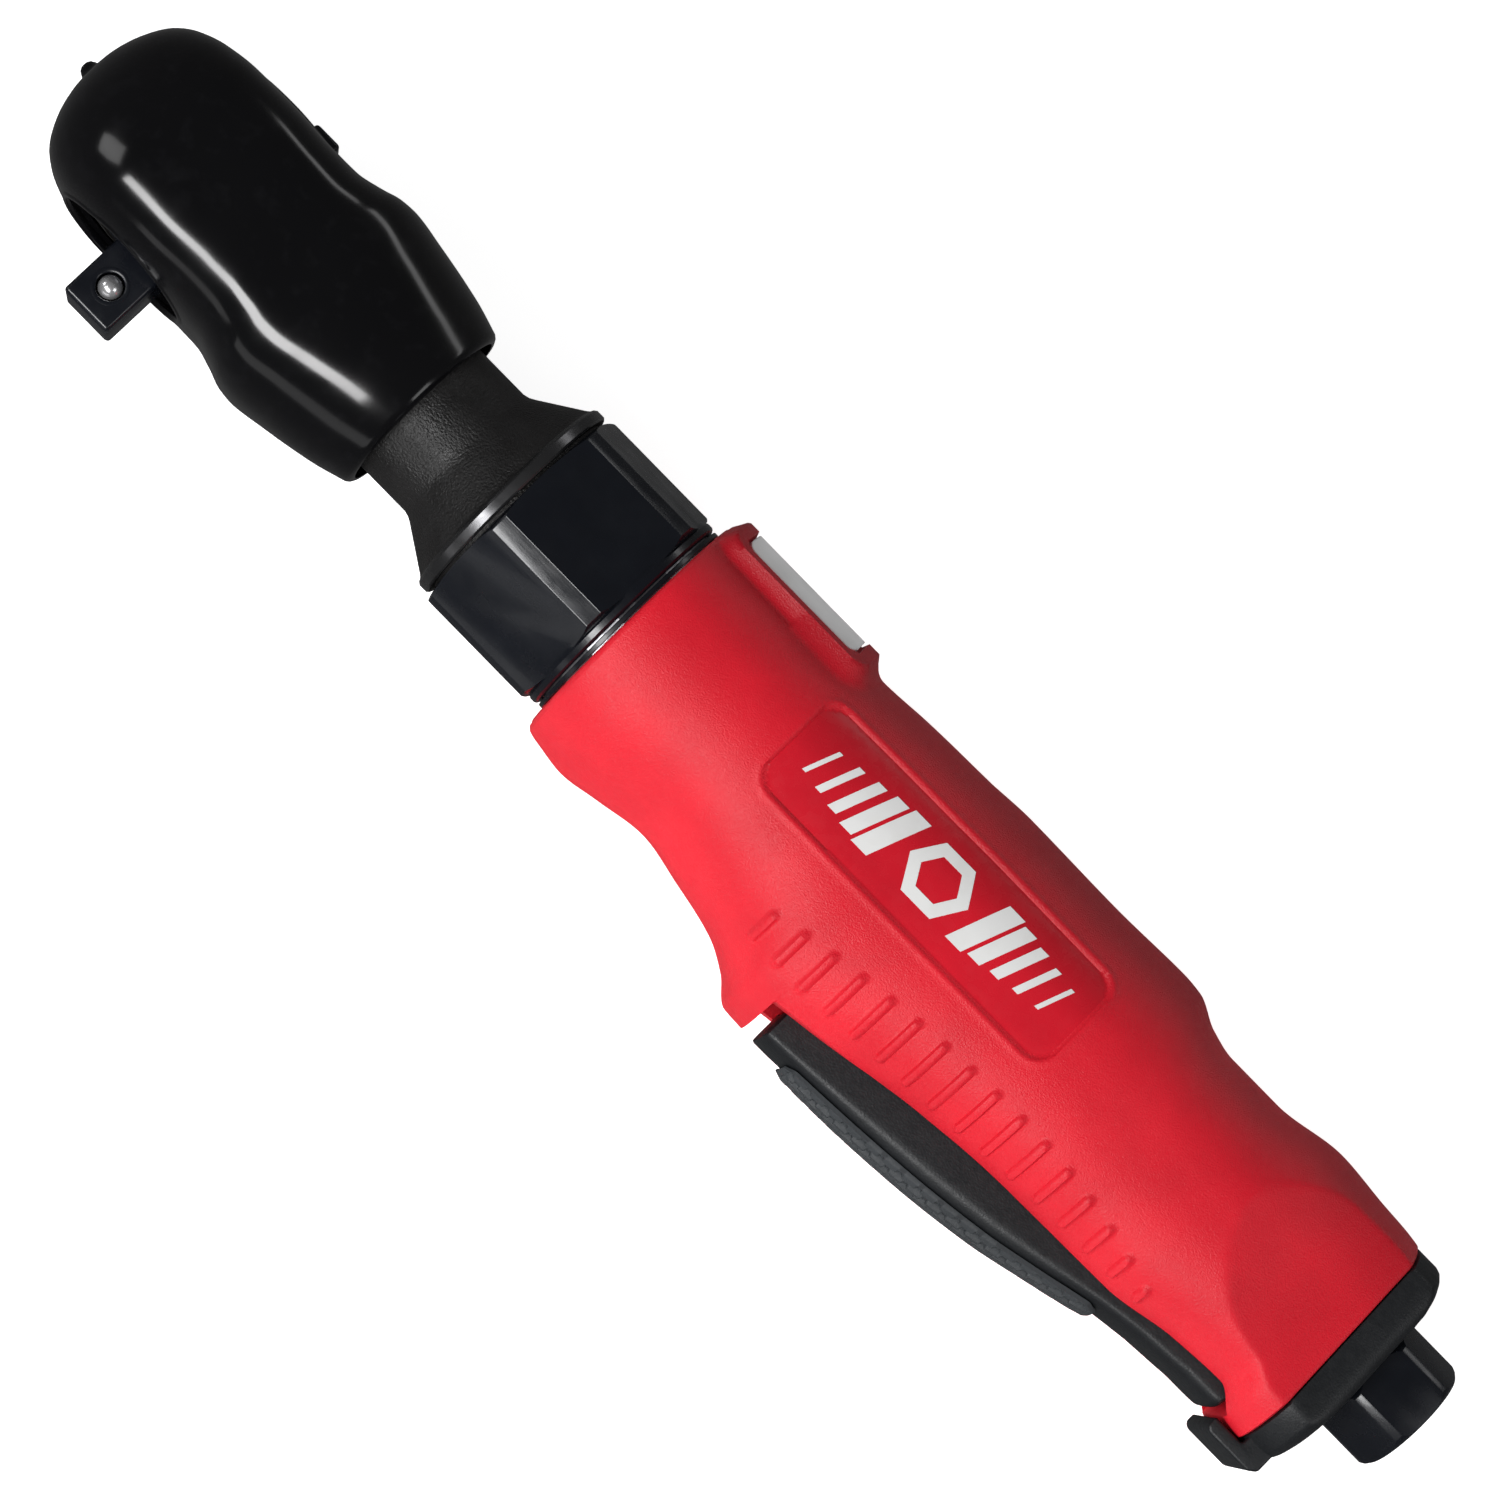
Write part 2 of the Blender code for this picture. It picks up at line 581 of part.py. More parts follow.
def make_motor(rotor_axis):
    """Vane motor: sleeve, end plates and bearings, liner, rotor with pinion, and vanes."""
    shade(tube("motor_sleeve", 18.0, 17.4, 81.0, 157.5, finish="steel", steps=32))
    plates = []
    for name, start in (("front", 89.2), ("rear", MOTOR_END + GAP)):
        plate = tube(f"{name}_end_plate", 17.2, 8.3, start, start + 5.8, finish="aluminium")
        tube(f"{name}_bearing", 8.0, 4.2, start + 0.4, start + 5.4, finish="steel")
        plates.append(shade(plate))
    liner = rod("motor_cylinder", 17.2, MOTOR_START, MOTOR_END, finish="steel")
    cut(liner, rod("liner_bore", ROTOR_RADIUS + 1.7, MOTOR_START - 1, MOTOR_END + 1,
                   at=(0, LINER_OFFSET, 0), steps=40))
    shade(liner)
    for i, piece in enumerate(plates + [liner]):
        cut(piece, rod(f"dowel_hole_{i + 1}", 1.3, 85, 156, at=(0, -14.4, 0), steps=12))
    rod("motor_dowel", 1.0, 91.0, 151.0, finish="steel", at=(0, -14.4, 0), steps=12)
    body_start, body_end = MOTOR_START + 0.5, MOTOR_END - 0.5
    rotor = turned("rotor", [
        (73.2, 2.9), (85.0, 2.9), (85.0, 3.9), (body_start, 3.9), (body_start, ROTOR_RADIUS),
        (body_end, ROTOR_RADIUS), (body_end, 3.9), (152.6, 3.9)], finish="steel", parent=rotor_axis)
    pinion = extruded("rotor_pinion", [gear_outline(SUN_TEETH, MODULE * SUN_TEETH / 2, 4.1, 2.95)],
                      9.6, along="X", at=(79.4, 0, 0), parent=rotor_axis)
    join(rotor, pinion)
    for i in range(VANE_COUNT):
        turn = 360 / VANE_COUNT * i + 45
        slot = block(f"vane_slot_{i + 1}", (body_start - 1, 5.0, -1.0), (body_end + 1, 13.0, 1.0),
                     parent=rotor_axis)
        vane = block(f"vane_{i + 1}", (body_start + 0.1, 5.4, -0.7), (body_end - 0.1, 11.0, 0.7),
                     "vane_resin", rotor_axis)
        for piece in (slot, vane):
            radius = piece.location.y / MM
            piece.location = metres(on_circle(radius, turn, piece.location.x / MM))
            piece.rotation_euler = (math.radians(turn), 0, 0)
        cut(rotor, slot)
    shade(rotor)


def sector(inner, outer, half_angle, steps=12):
    """An arch-shaped outline about the top of the tool."""
    return arc(outer, -half_angle, half_angle, steps) + arc(inner, half_angle, -half_angle, steps)


def side_flats(name):
    """Two cutters that flatten the rear of the grip and its cap, each turned a little upwards."""
    outline = [(222.0, 21.0), (224.3, 19.6), (230.0, 17.9), (237.5, 15.7), (244.0, 14.9),
               (260.0, 14.4), (260.0, 30.0), (222.0, 30.0)]
    flats = []
    for side in (-1, 1):
        flat = extruded(f"{name}_{'left' if side < 0 else 'right'}",
                        [[(x, side * z) for x, z in outline]], 60.0, along="Y")
        flat.rotation_euler.x += side * FLAT_TILT
        flats.append(flat)
    return flats


def make_handle():
    """Moulded grip: plate bezel on top, finger hook and lever skirt below, bored for the motor."""
    rings = [superellipse(x, top, bottom, width, 2.0, power)
             for x, top, bottom, width, power in HANDLE_STATIONS]
    handle = lofted("grip_handle", rings, "red_composite")
    bezel = extruded("handle_bezel", [sector(20.5, 24.5, 42)], 27.0, along="X", at=(110.5, 0, 0))
    recess = extruded("handle_plate_recess", [sector(23.3, 26, 36.8)], 24.2, along="X",
                      at=(110.05, 0, 0))
    bore = rod("handle_bore", 18.8, 93, 158, steps=40)
    channel = extruded("handle_lever_channel", [[
        (151.5, -40), (151.5, -20.0), (158.8, -20.0), (158.8, -17.6), (233, -17.6), (233, -13.2),
        (246.3, -13.2), (246.3, -22.4), (253, -22.4), (253, -40)]], 19.2)
    valve_bore = rod("handle_valve_bore", 5.3, -19, 10.5, along="Y", at=(VALVE_X, 0, 0), steps=24)
    air_bore = turned("handle_air_bore", [
        (VALVE_X, 4.6), (234, 4.6), (234, 9.7), (244, 9.7), (244, 12.6), (252, 12.6)])
    feed = rod("handle_motor_feed", 2.6, 156, VALVE_X, at=(0, -7.0, 0), steps=12)
    exhaust = rod("handle_exhaust", 2.2, 156, 252, at=(0, 14.3, 0), steps=12)
    plenum = extruded("handle_plenum", [sector(11.3, 16.2, 42, 8)], 4.6, along="X", at=(249.7, 0, 0))
    pin_hole = rod("handle_pin_hole", 1.55, -25, 12.0, along="Z", at=LEVER_PIVOT, steps=12)
    join(handle, bezel)
    cut(handle, recess, bore, channel, valve_bore, air_bore, feed, exhaust, plenum, pin_hole)
    cut(handle, *side_flats("handle_flat"))
    shade(handle, 40)
    extruded("name_plate", [sector(23.6, 24.2, 36)], 23.5, "aluminium", "X", at=(110.05, 0, 0))


def lever_ring(x, top, crease, under, floor):
    """A trough: straight sides to the crease, a rounded underside and a flat inner floor."""
    ring = [(x, top, LEVER_HALF)]
    for i in range(13):
        angle = math.pi * i / 12
        across, down = math.cos(angle), abs(math.sin(angle))
        z = math.copysign(abs(across) ** LEVER_ROUND, across) * LEVER_HALF
        ring.append((x, crease + (under - crease) * down ** LEVER_ROUND, z))
    inner = LEVER_HALF - 2.0
    return ring + [(x, top, -LEVER_HALF), (x, top, -inner), (x, floor, -inner),
                   (x, floor, inner), (x, top, inner)]


def lever_under(x, z):
    """Height of the lever's underside at this place."""
    stations = np.array(LEVER_STATIONS)
    crease, under = (np.interp(x, stations[:, 0], stations[:, i]) for i in (2, 3))
    across = (abs(z) / LEVER_HALF) ** (1 / LEVER_ROUND)
    return crease + (under - crease) * math.sqrt(1 - across * across) ** LEVER_ROUND


def pad_ring(x, under, half):
    """A crescent that follows the lever's underside."""
    places = [half * (1 - i / 5) for i in range(11)]
    thick = lever_under(x, 0) - GAP - under
    inside = [(x, lever_under(x, z) - GAP, z) for z in places]
    outside = [(x, y - thick * (1 - 0.7 * (z / half) ** 4), z) for _, y, z in inside]
    return outside + inside[::-1]


def make_lever(axis):
    """Throttle lever, its pad and the pin it swings on."""
    rings = [lever_ring(*station) for station in LEVER_STATIONS]
    lever = lofted("throttle_lever", rings, "grey_composite", origin=LEVER_PIVOT, parent=TOOL)
    lever.parent = axis
    lever.location = (0, 0, 0)
    cut(lever, rod("lever_pin_hole", 1.55, -20, 20, along="Z", parent=axis, steps=12))
    shade(lever, 40)
    pad = lofted("lever_pad", [pad_ring(*station) for station in PAD_STATIONS], "pad_rubber",
                 origin=LEVER_PIVOT)
    pad.parent = axis
    pad.location = (0, 0, 0)
    shade(pad, 40)
    rod("lever_pin", 1.25, -12.4, 11.6, finish="steel", along="Z", at=LEVER_PIVOT, steps=12)


def make_valve():
    """Throttle valve: bush and seat in the cross bore, a stem that the lever lifts, a spring."""
    at = (VALVE_X, 0, 0)
    tube("valve_bush", 5.0, 2.2, -17.2, -9.6, finish="brass", along="Y", at=at, steps=24)
    tube("valve_seat", 5.0, 3.1, -4.5, -2.0, finish="brass", along="Y", at=at, steps=24)
    shade(turned("valve_stem", [
        (-25.3, 1.1), (-24.4, 1.8), (-1.7, 1.8), (-1.7, 4.2), (0.2, 4.2), (0.2, 1.6), (2.6, 1.6)],
        finish="steel", along="Y", at=at, steps=24))
    coil("valve_spring", 3.0, 0.7, 0.5, 10.2, 5, "spring_steel", "Y", at, TOOL)


def make_end_cap():
    """End cap with the hook that closes the lever channel and three exhaust holes."""
    sections = [(250.7, 0.0), (254.7, 0.0), (256.4, 0.7), (257.2, 1.8), (257.4, 2.7)]
    rings = [superellipse(x, 19.6 - d, 22.6 - d, 19.3 - d, 2.0, 2.6) for x, d in sections]
    cap = lofted("end_cap", rings, "grey_composite")
    hook = extruded("cap_hook", [[
        (245.2, -22.8), (245.2, -24.7), (245.9, -25.3), (254.6, -25.3), (256.0, -24.2),
        (256.0, -15), (251.2, -15), (251.2, -22.8)]], 18.0)
    join(cap, hook)
    cut(cap, *side_flats("cap_flat"))
    cut(cap, rod("cap_bore", 9.7, 248, 260))
    for i, angle in enumerate((-32, 0, 32)):
        cut(cap, rod(f"cap_exhaust_{i + 1}", 1.9, 248, 260, at=on_circle(14.3, angle), steps=12))
    shade(cap, 40)
    tube("exhaust_muffler", 12.3, 10.0, 244.6, 250.2, finish="muffler_felt")


def make_inlet():
    """Inlet bushing: a hexagon with a pipe-thread socket, screwed in behind the valve."""
    flat = INLET_HEX / 2
    like = (flat, 10.8)
    turn = 27.3
    rings = [round_ring(x, r, like, turn) for x, r in (
        (236.4, 9.3), (238.9, 9.3), (239.0, 8.2), (241.4, 8.2), (241.5, 9.3), (257.8, 9.3))]
    rings += [faceted_ring(257.9, flat, 10.2, turn), faceted_ring(258.7, flat, 10.8, turn),
              faceted_ring(267.8, flat, 10.8, turn), round_ring(INLET_END, 9.3, like, turn)]
    rings += [round_ring(x, r, like, turn) for x, r in (
        (INLET_END, 6.2), (268.6, 5.8), (252.0, 5.8), (251.9, 4.6), (236.4, 4.6))]
    shade(lofted("inlet_bushing", rings, "black_oxide", closed=True), 20)
    holes = [circle(0.9, 6, p) for p in [(0.0, 0.0)] + circle(3.0, 6)]
    extruded("inlet_screen", [circle(5.4, 24)] + holes, 0.6, "brass", "X", at=(252.7, 0, 0))
    ring = circle(0.55, 6, (240.2, 8.95))
    profile = [[on_circle(radius, 360 * i / 20, x) for x, radius in ring] for i in range(20)]
    lofted("inlet_o_ring", profile, "seal_rubber", closed=True)


def make_tool():
    anvil_axis = axis_empty("anvil_axis", (0, 0, 0), TOOL)
    knob_axis = axis_empty("knob_axis", (0, 0, 0), anvil_axis)
    yoke_axis = axis_empty("yoke_axis", (0, 0, 0), TOOL)
    crank_axis = axis_empty("crank_axis", (0, 0, 0), TOOL)
    rotor_axis = axis_empty("rotor_axis", (0, 0, 0), TOOL)
    lever_axis = axis_empty("lever_axis", LEVER_PIVOT, TOOL)
    make_head(anvil_axis, knob_axis, yoke_axis)
    make_crank(crank_axis)
    make_gears(crank_axis)
    make_clamp_nut()
    make_motor(rotor_axis)
    make_handle()
    make_lever(lever_axis)
    make_valve()
    make_end_cap()
    make_inlet()


clear_scene()
PARTS = new_collection("air_ratchet")
CUTTERS = new_collection("air_ratchet_cutters")
TOOL = axis_empty("tool_axis", (0, DRIVE_REACH, 0), None)
make_tool()
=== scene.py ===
"""Looks for the air ratchet: finished pieces, materials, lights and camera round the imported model.

Lengths are in millimetres in the tool's own frame, where +X runs from the head to the air inlet,
-Y is the way the drive square points and +Z is up. The helpers turn them into metres.
"""

import math

import bmesh
import bpy
import numpy as np
from mathutils import Matrix, Vector


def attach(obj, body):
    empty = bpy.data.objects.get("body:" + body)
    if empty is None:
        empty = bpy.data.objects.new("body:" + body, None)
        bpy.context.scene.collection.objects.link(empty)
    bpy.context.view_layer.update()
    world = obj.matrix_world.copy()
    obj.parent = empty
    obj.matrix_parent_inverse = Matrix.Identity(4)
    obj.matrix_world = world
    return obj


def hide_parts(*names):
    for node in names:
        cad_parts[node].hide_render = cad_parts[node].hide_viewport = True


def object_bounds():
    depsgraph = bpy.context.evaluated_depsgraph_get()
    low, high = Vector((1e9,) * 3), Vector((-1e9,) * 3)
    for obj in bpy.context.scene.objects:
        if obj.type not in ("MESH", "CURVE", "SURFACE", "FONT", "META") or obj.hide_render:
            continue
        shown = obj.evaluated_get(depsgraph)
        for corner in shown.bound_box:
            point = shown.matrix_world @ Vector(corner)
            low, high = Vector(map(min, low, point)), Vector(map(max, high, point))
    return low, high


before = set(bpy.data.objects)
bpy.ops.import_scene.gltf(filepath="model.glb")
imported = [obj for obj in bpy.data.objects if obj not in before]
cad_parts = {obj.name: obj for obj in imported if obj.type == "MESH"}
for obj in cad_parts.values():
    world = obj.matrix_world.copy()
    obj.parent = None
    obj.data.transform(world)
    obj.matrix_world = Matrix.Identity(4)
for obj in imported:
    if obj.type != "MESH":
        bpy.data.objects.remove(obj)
CAD_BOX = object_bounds()

MM = 0.001
DRIVE_REACH = 27.7
TOOL_AXIS = Vector((0.0, DRIVE_REACH, 0.0))
DRIVE_SQUARE = 9.525
DETENT_Y = -22.2
GAP = 0.3
LEVER_PIVOT = (241.5, -15.8, 0.0)
LEVER_HALF = 9.0
LEVER_ROUND = 0.7
FLAT_TILT = math.radians(8.6)
ROUND_STEPS = 96
BOOT_WALL = 2.0
DRIVE_OPENING = 12.7
DRIVE_OPENING_X = -2.7
KNOB_OPENING = 9.7
LIP_RADIUS = 0.85
PIN_HOLE_RADIUS = 1.55
NUT_HALF_FLATS = 18.9
NUT_TURN = 18.7
INLET_HALF_FLATS = 19.05 / 2
INLET_TURN = 27.3
PANEL_SURFACE = 21.6
BEZEL_SURFACE = 24.5
BEZEL_ARC = 24.0
LIT_PLACE = Vector((0.121, 0.027, 0.0))

# Boot outline: x, half height, half width, squareness.
HEAD = [
    (-27.2, 2.0, 3.0, 2.2), (-26.4, 6.4, 7.2, 2.3), (-25.0, 10.2, 10.6, 2.4), (-22.3, 14.0, 14.4, 2.7),
    (-19.0, 16.0, 17.2, 3.0), (-14.0, 17.3, 20.0, 3.3), (-8.0, 17.8, 21.85, 3.5), (0.0, 17.9, 22.35, 3.5),
    (9.0, 17.6, 22.2, 3.35), (14.0, 17.8, 21.7, 3.15), (18.5, 19.0, 21.2, 2.95), (22.0, 20.2, 21.0, 2.8),
    (24.8, 20.5, 20.8, 2.65), (31.0, 19.8, 19.9, 2.35), (40.5, 18.2, 18.2, 2.05), (47.2, 16.3, 16.3, 2.0),
]

# Grip outline: x, height above the axis, depth below it, half width, squareness below.
GRIP = [
    (94.0, 21.4, 22.4, 21.2, 2.0), (95.0, 22.1, 23.3, 21.9, 2.0), (98.0, 22.3, 23.9, 22.0, 2.0),
    (103.0, 22.3, 24.5, 22.0, 2.0), (110.0, 22.2, 23.4, 21.8, 2.0), (119.0, 22.0, 22.0, 21.6, 2.1),
    (128.0, 21.9, 23.5, 21.5, 2.2), (137.8, 22.5, 25.7, 21.5, 2.3), (143.0, 22.7, 28.4, 21.5, 2.4),
    (147.5, 22.8, 32.0, 21.5, 2.4), (151.4, 22.9, 32.2, 21.5, 2.4), (151.6, 22.9, 28.4, 21.5, 2.7),
    (160.0, 23.4, 27.2, 21.5, 2.7), (179.0, 23.2, 24.0, 21.3, 2.7), (194.3, 23.6, 22.6, 21.0, 2.7),
    (198.0, 23.3, 22.5, 20.8, 2.7), (203.7, 20.7, 22.5, 20.2, 2.7), (209.0, 19.6, 22.5, 19.7, 2.7),
    (219.0, 19.6, 22.4, 19.4, 2.7), (232.0, 21.4, 20.2, 19.8, 2.7), (242.0, 20.6, 19.6, 19.7, 2.7),
    (247.0, 20.3, 23.1, 19.6, 2.7), (250.4, 19.9, 23.6, 19.4, 2.7),
]

# Half width left by the flattened sides near the inlet: x, distance from the axis.
FLATS = [(222.0, 21.0), (224.3, 19.6), (230.0, 17.9), (237.5, 15.7), (244.0, 14.9), (260.0, 14.4)]

# Lever outline: x, top, crease, underside, inner floor.
LEVER = [
    (154.2, -25.5, -30.2, -32.2, -25.9), (156.6, -25.1, -30.0, -32.2, -25.5),
    (156.8, -25.1, -30.0, -32.2, -29.2), (170.0, -22.6, -28.6, -31.8, -28.8),
    (184.0, -21.0, -26.9, -31.0, -28.0), (200.0, -20.0, -25.0, -29.0, -26.4),
    (210.0, -19.5, -23.6, -26.8, -24.6), (221.0, -18.9, -21.8, -24.2, -22.2),
    (229.0, -18.5, -20.6, -23.1, -21.6), (229.2, -18.5, -20.6, -23.1, -18.8),
    (235.0, -18.3, -20.2, -22.7, -18.6), (238.0, -14.6, -19.8, -22.5, -14.9),
    (239.5, -13.9, -19.8, -22.5, -14.2), (243.5, -13.9, -19.8, -22.4, -14.2),
    (244.7, -14.6, -19.6, -21.8, -14.9),
]

# Pad outline: x, underside, half width.
PAD = [
    (160.0, -32.9, 5.6), (162.0, -33.4, 7.4), (170.0, -33.3, 7.4), (184.0, -32.5, 7.4),
    (200.0, -30.5, 7.4), (210.0, -28.3, 7.4), (219.0, -26.1, 7.4), (221.0, -25.5, 5.6),
]


def slopes(x, y):
    """Monotone cubic slopes, so a smooth curve through the stations never overshoots them."""
    step = np.diff(x)
    secant = np.diff(y) / step
    slope = np.empty(len(x))
    slope[0], slope[-1] = secant[0], secant[-1]
    for i in range(1, len(x) - 1):
        before, after = secant[i - 1], secant[i]
        if before * after <= 0:
            slope[i] = 0.0
            continue
        w1, w2 = 2 * step[i] + step[i - 1], step[i] + 2 * step[i - 1]
        slope[i] = (w1 + w2) / (w1 / before + w2 / after)
    return slope


def through(stations, column, at):
    """A smooth curve through one column of the stations; stations closer than half a millimetre
    to each other keep a step between them."""
    table = np.array(stations)
    at = np.atleast_1d(np.asarray(at, dtype=float))
    breaks = [i + 1 for i, gap in enumerate(np.diff(table[:, 0])) if gap < 0.5]
    out = np.empty(len(at))
    edges = [0] + breaks + [len(table)]
    for first, last in zip(edges, edges[1:]):
        x, y = table[first:last, 0], table[first:last, column]
        low = -np.inf if first == 0 else (table[first - 1, 0] + x[0]) / 2
        high = np.inf if last == len(table) else (x[-1] + table[last, 0]) / 2
        inside = (at >= low) & (at < high)
        if len(x) == 1:
            out[inside] = y[0]
            continue
        where = np.clip(at[inside], x[0], x[-1])
        slope = slopes(x, y)
        i = np.clip(np.searchsorted(x, where, side="right") - 1, 0, len(x) - 2)
        width = x[i + 1] - x[i]
        t = (where - x[i]) / width
        out[inside] = ((2 * t ** 3 - 3 * t ** 2 + 1) * y[i] + (t ** 3 - 2 * t ** 2 + t) * width * slope[i]
                       + (3 * t ** 2 - 2 * t ** 3) * y[i + 1] + (t ** 3 - t ** 2) * width * slope[i + 1])
    return out


def smoothstep(low, high, value):
    """Nought at low, one at high and an even S between them."""
    t = np.clip((value - low) / (high - low), 0.0, 1.0)
    return t * t * (3 - 2 * t)


def polar(top, bottom, half_width, power_top, power_bottom, angle):
    """Radius of a squared-off ellipse in the direction that lies angle radians from +Y to +Z."""
    up, across = np.cos(angle), np.sin(angle)
    reach = np.where(up > 0, top, bottom)
    power = np.where(up > 0, power_top, power_bottom)
    return (np.abs(up / reach) ** power + np.abs(across / half_width) ** power) ** (-1 / power)


def from_bmesh(name, bm, angle=32):
    """An object from the mesh, shaded smooth with its sharper edges kept."""
    bmesh.ops.recalc_face_normals(bm, faces=bm.faces)
    mesh = bpy.data.meshes.new(name)
    bm.to_mesh(mesh)
    bm.free()
    obj = bpy.data.objects.new(name, mesh)
    bpy.context.scene.collection.objects.link(obj)
    return shade(obj, angle)


def shade(obj, angle=32):
    obj.data.shade_smooth()
    obj.data.set_sharp_from_angle(angle=math.radians(angle))
    return obj


def skin(name, rings, closed=False, angle=32):
    """Quads over rings of equal length; closed joins the last ring to the first."""
    bm = bmesh.new()
    loops = [[bm.verts.new((Vector(p) + TOOL_AXIS) * MM) for p in ring] for ring in rings]
    pairs = list(zip(loops, loops[1:]))
    if closed:
        pairs.append((loops[-1], loops[0]))
    else:
        bm.faces.new(loops[0])
        bm.faces.new(loops[-1])
    for near, far in pairs:
        for i in range(len(near)):
            bm.faces.new((near[i], near[i - 1], far[i - 1], far[i]))
    return from_bmesh(name, bm, angle)


def spin_point(along, station, radius, turn, at):
    """A point at this turn round an axis parallel to X, Y or Z that passes through at."""
    a, b = radius * math.cos(turn), radius * math.sin(turn)
    offset = {"X": (station, a, b), "Y": (b, station, a), "Z": (a, b, station)}[along]
    return tuple(o + c for o, c in zip(offset, at))


def turned(name, profile, closed=False, along="X", at=(0, 0, 0), steps=ROUND_STEPS, angle=32):
    """A turned piece from (station, radius) pairs; closed is for a profile that goes right round."""
    rings = [[spin_point(along, station, max(radius, 0.01), math.tau * i / steps, at)
              for i in range(steps)] for station, radius in profile]
    return skin(name, rings, closed, angle)


def rod(name, radius, start, end, **options):
    """A plain round bar between two stations on its axis."""
    return turned(name, [(start, radius), (end, radius)], **options)


def block(name, low, high):
    """A box between two corners."""
    bm = bmesh.new()
    bmesh.ops.create_cube(bm, size=1)
    size = Vector(high) - Vector(low)
    middle = (Vector(high) + Vector(low)) / 2 + TOOL_AXIS
    bmesh.ops.scale(bm, vec=size, verts=bm.verts)
    bmesh.ops.translate(bm, vec=middle, verts=bm.verts)
    bmesh.ops.scale(bm, vec=(MM, MM, MM), verts=bm.verts)
    return from_bmesh(name, bm)


def prism(name, outline, low, high, along="Z"):
    """A flat outline pushed along an axis; the outline gives the other two coordinates in order."""
    order = {"X": lambda u, v, w: (w, u, v), "Y": lambda u, v, w: (u, w, v), "Z": lambda u, v, w: (u, v, w)}
    rings = [[order[along](u, v, w) for u, v in outline] for w in (low, high)]
    return skin(name, rings)


def settle(obj):
    """Applies the object's modifiers and clears its material slots, ready for dress."""
    graph = bpy.context.evaluated_depsgraph_get()
    mesh = bpy.data.meshes.new_from_object(obj.evaluated_get(graph))
    obj.modifiers.clear()
    old = obj.data
    obj.data = mesh
    bpy.data.meshes.remove(old)
    mesh.name = obj.name
    mesh.materials.clear()
    return obj


def combine(target, operation, *others):
    """Boolean of the target with each of the others, which are used up."""
    for other in others:
        modifier = target.modifiers.new(other.name, "BOOLEAN")
        modifier.operation = operation
        modifier.solver = "MANIFOLD"
        modifier.object = other
    settle(target)
    for other in others:
        bpy.data.objects.remove(other, do_unlink=True)
    return target


def cut(target, *others):
    return combine(target, "DIFFERENCE", *others)


def join(target, *others):
    return combine(target, "UNION", *others)


def soften(obj, width, segments=3, angle=30):
    """Rounds the sharper edges, as a moulding or a tumbled casting has them."""
    bevel = obj.modifiers.new("Edges", "BEVEL")
    bevel.width = width * MM
    bevel.segments = segments
    bevel.limit_method = "ANGLE"
    bevel.angle_limit = math.radians(angle)
    bevel.miter_outer = "MITER_ARC"
    bevel.harden_normals = False
    settle(obj)
    return shade(obj, 40)


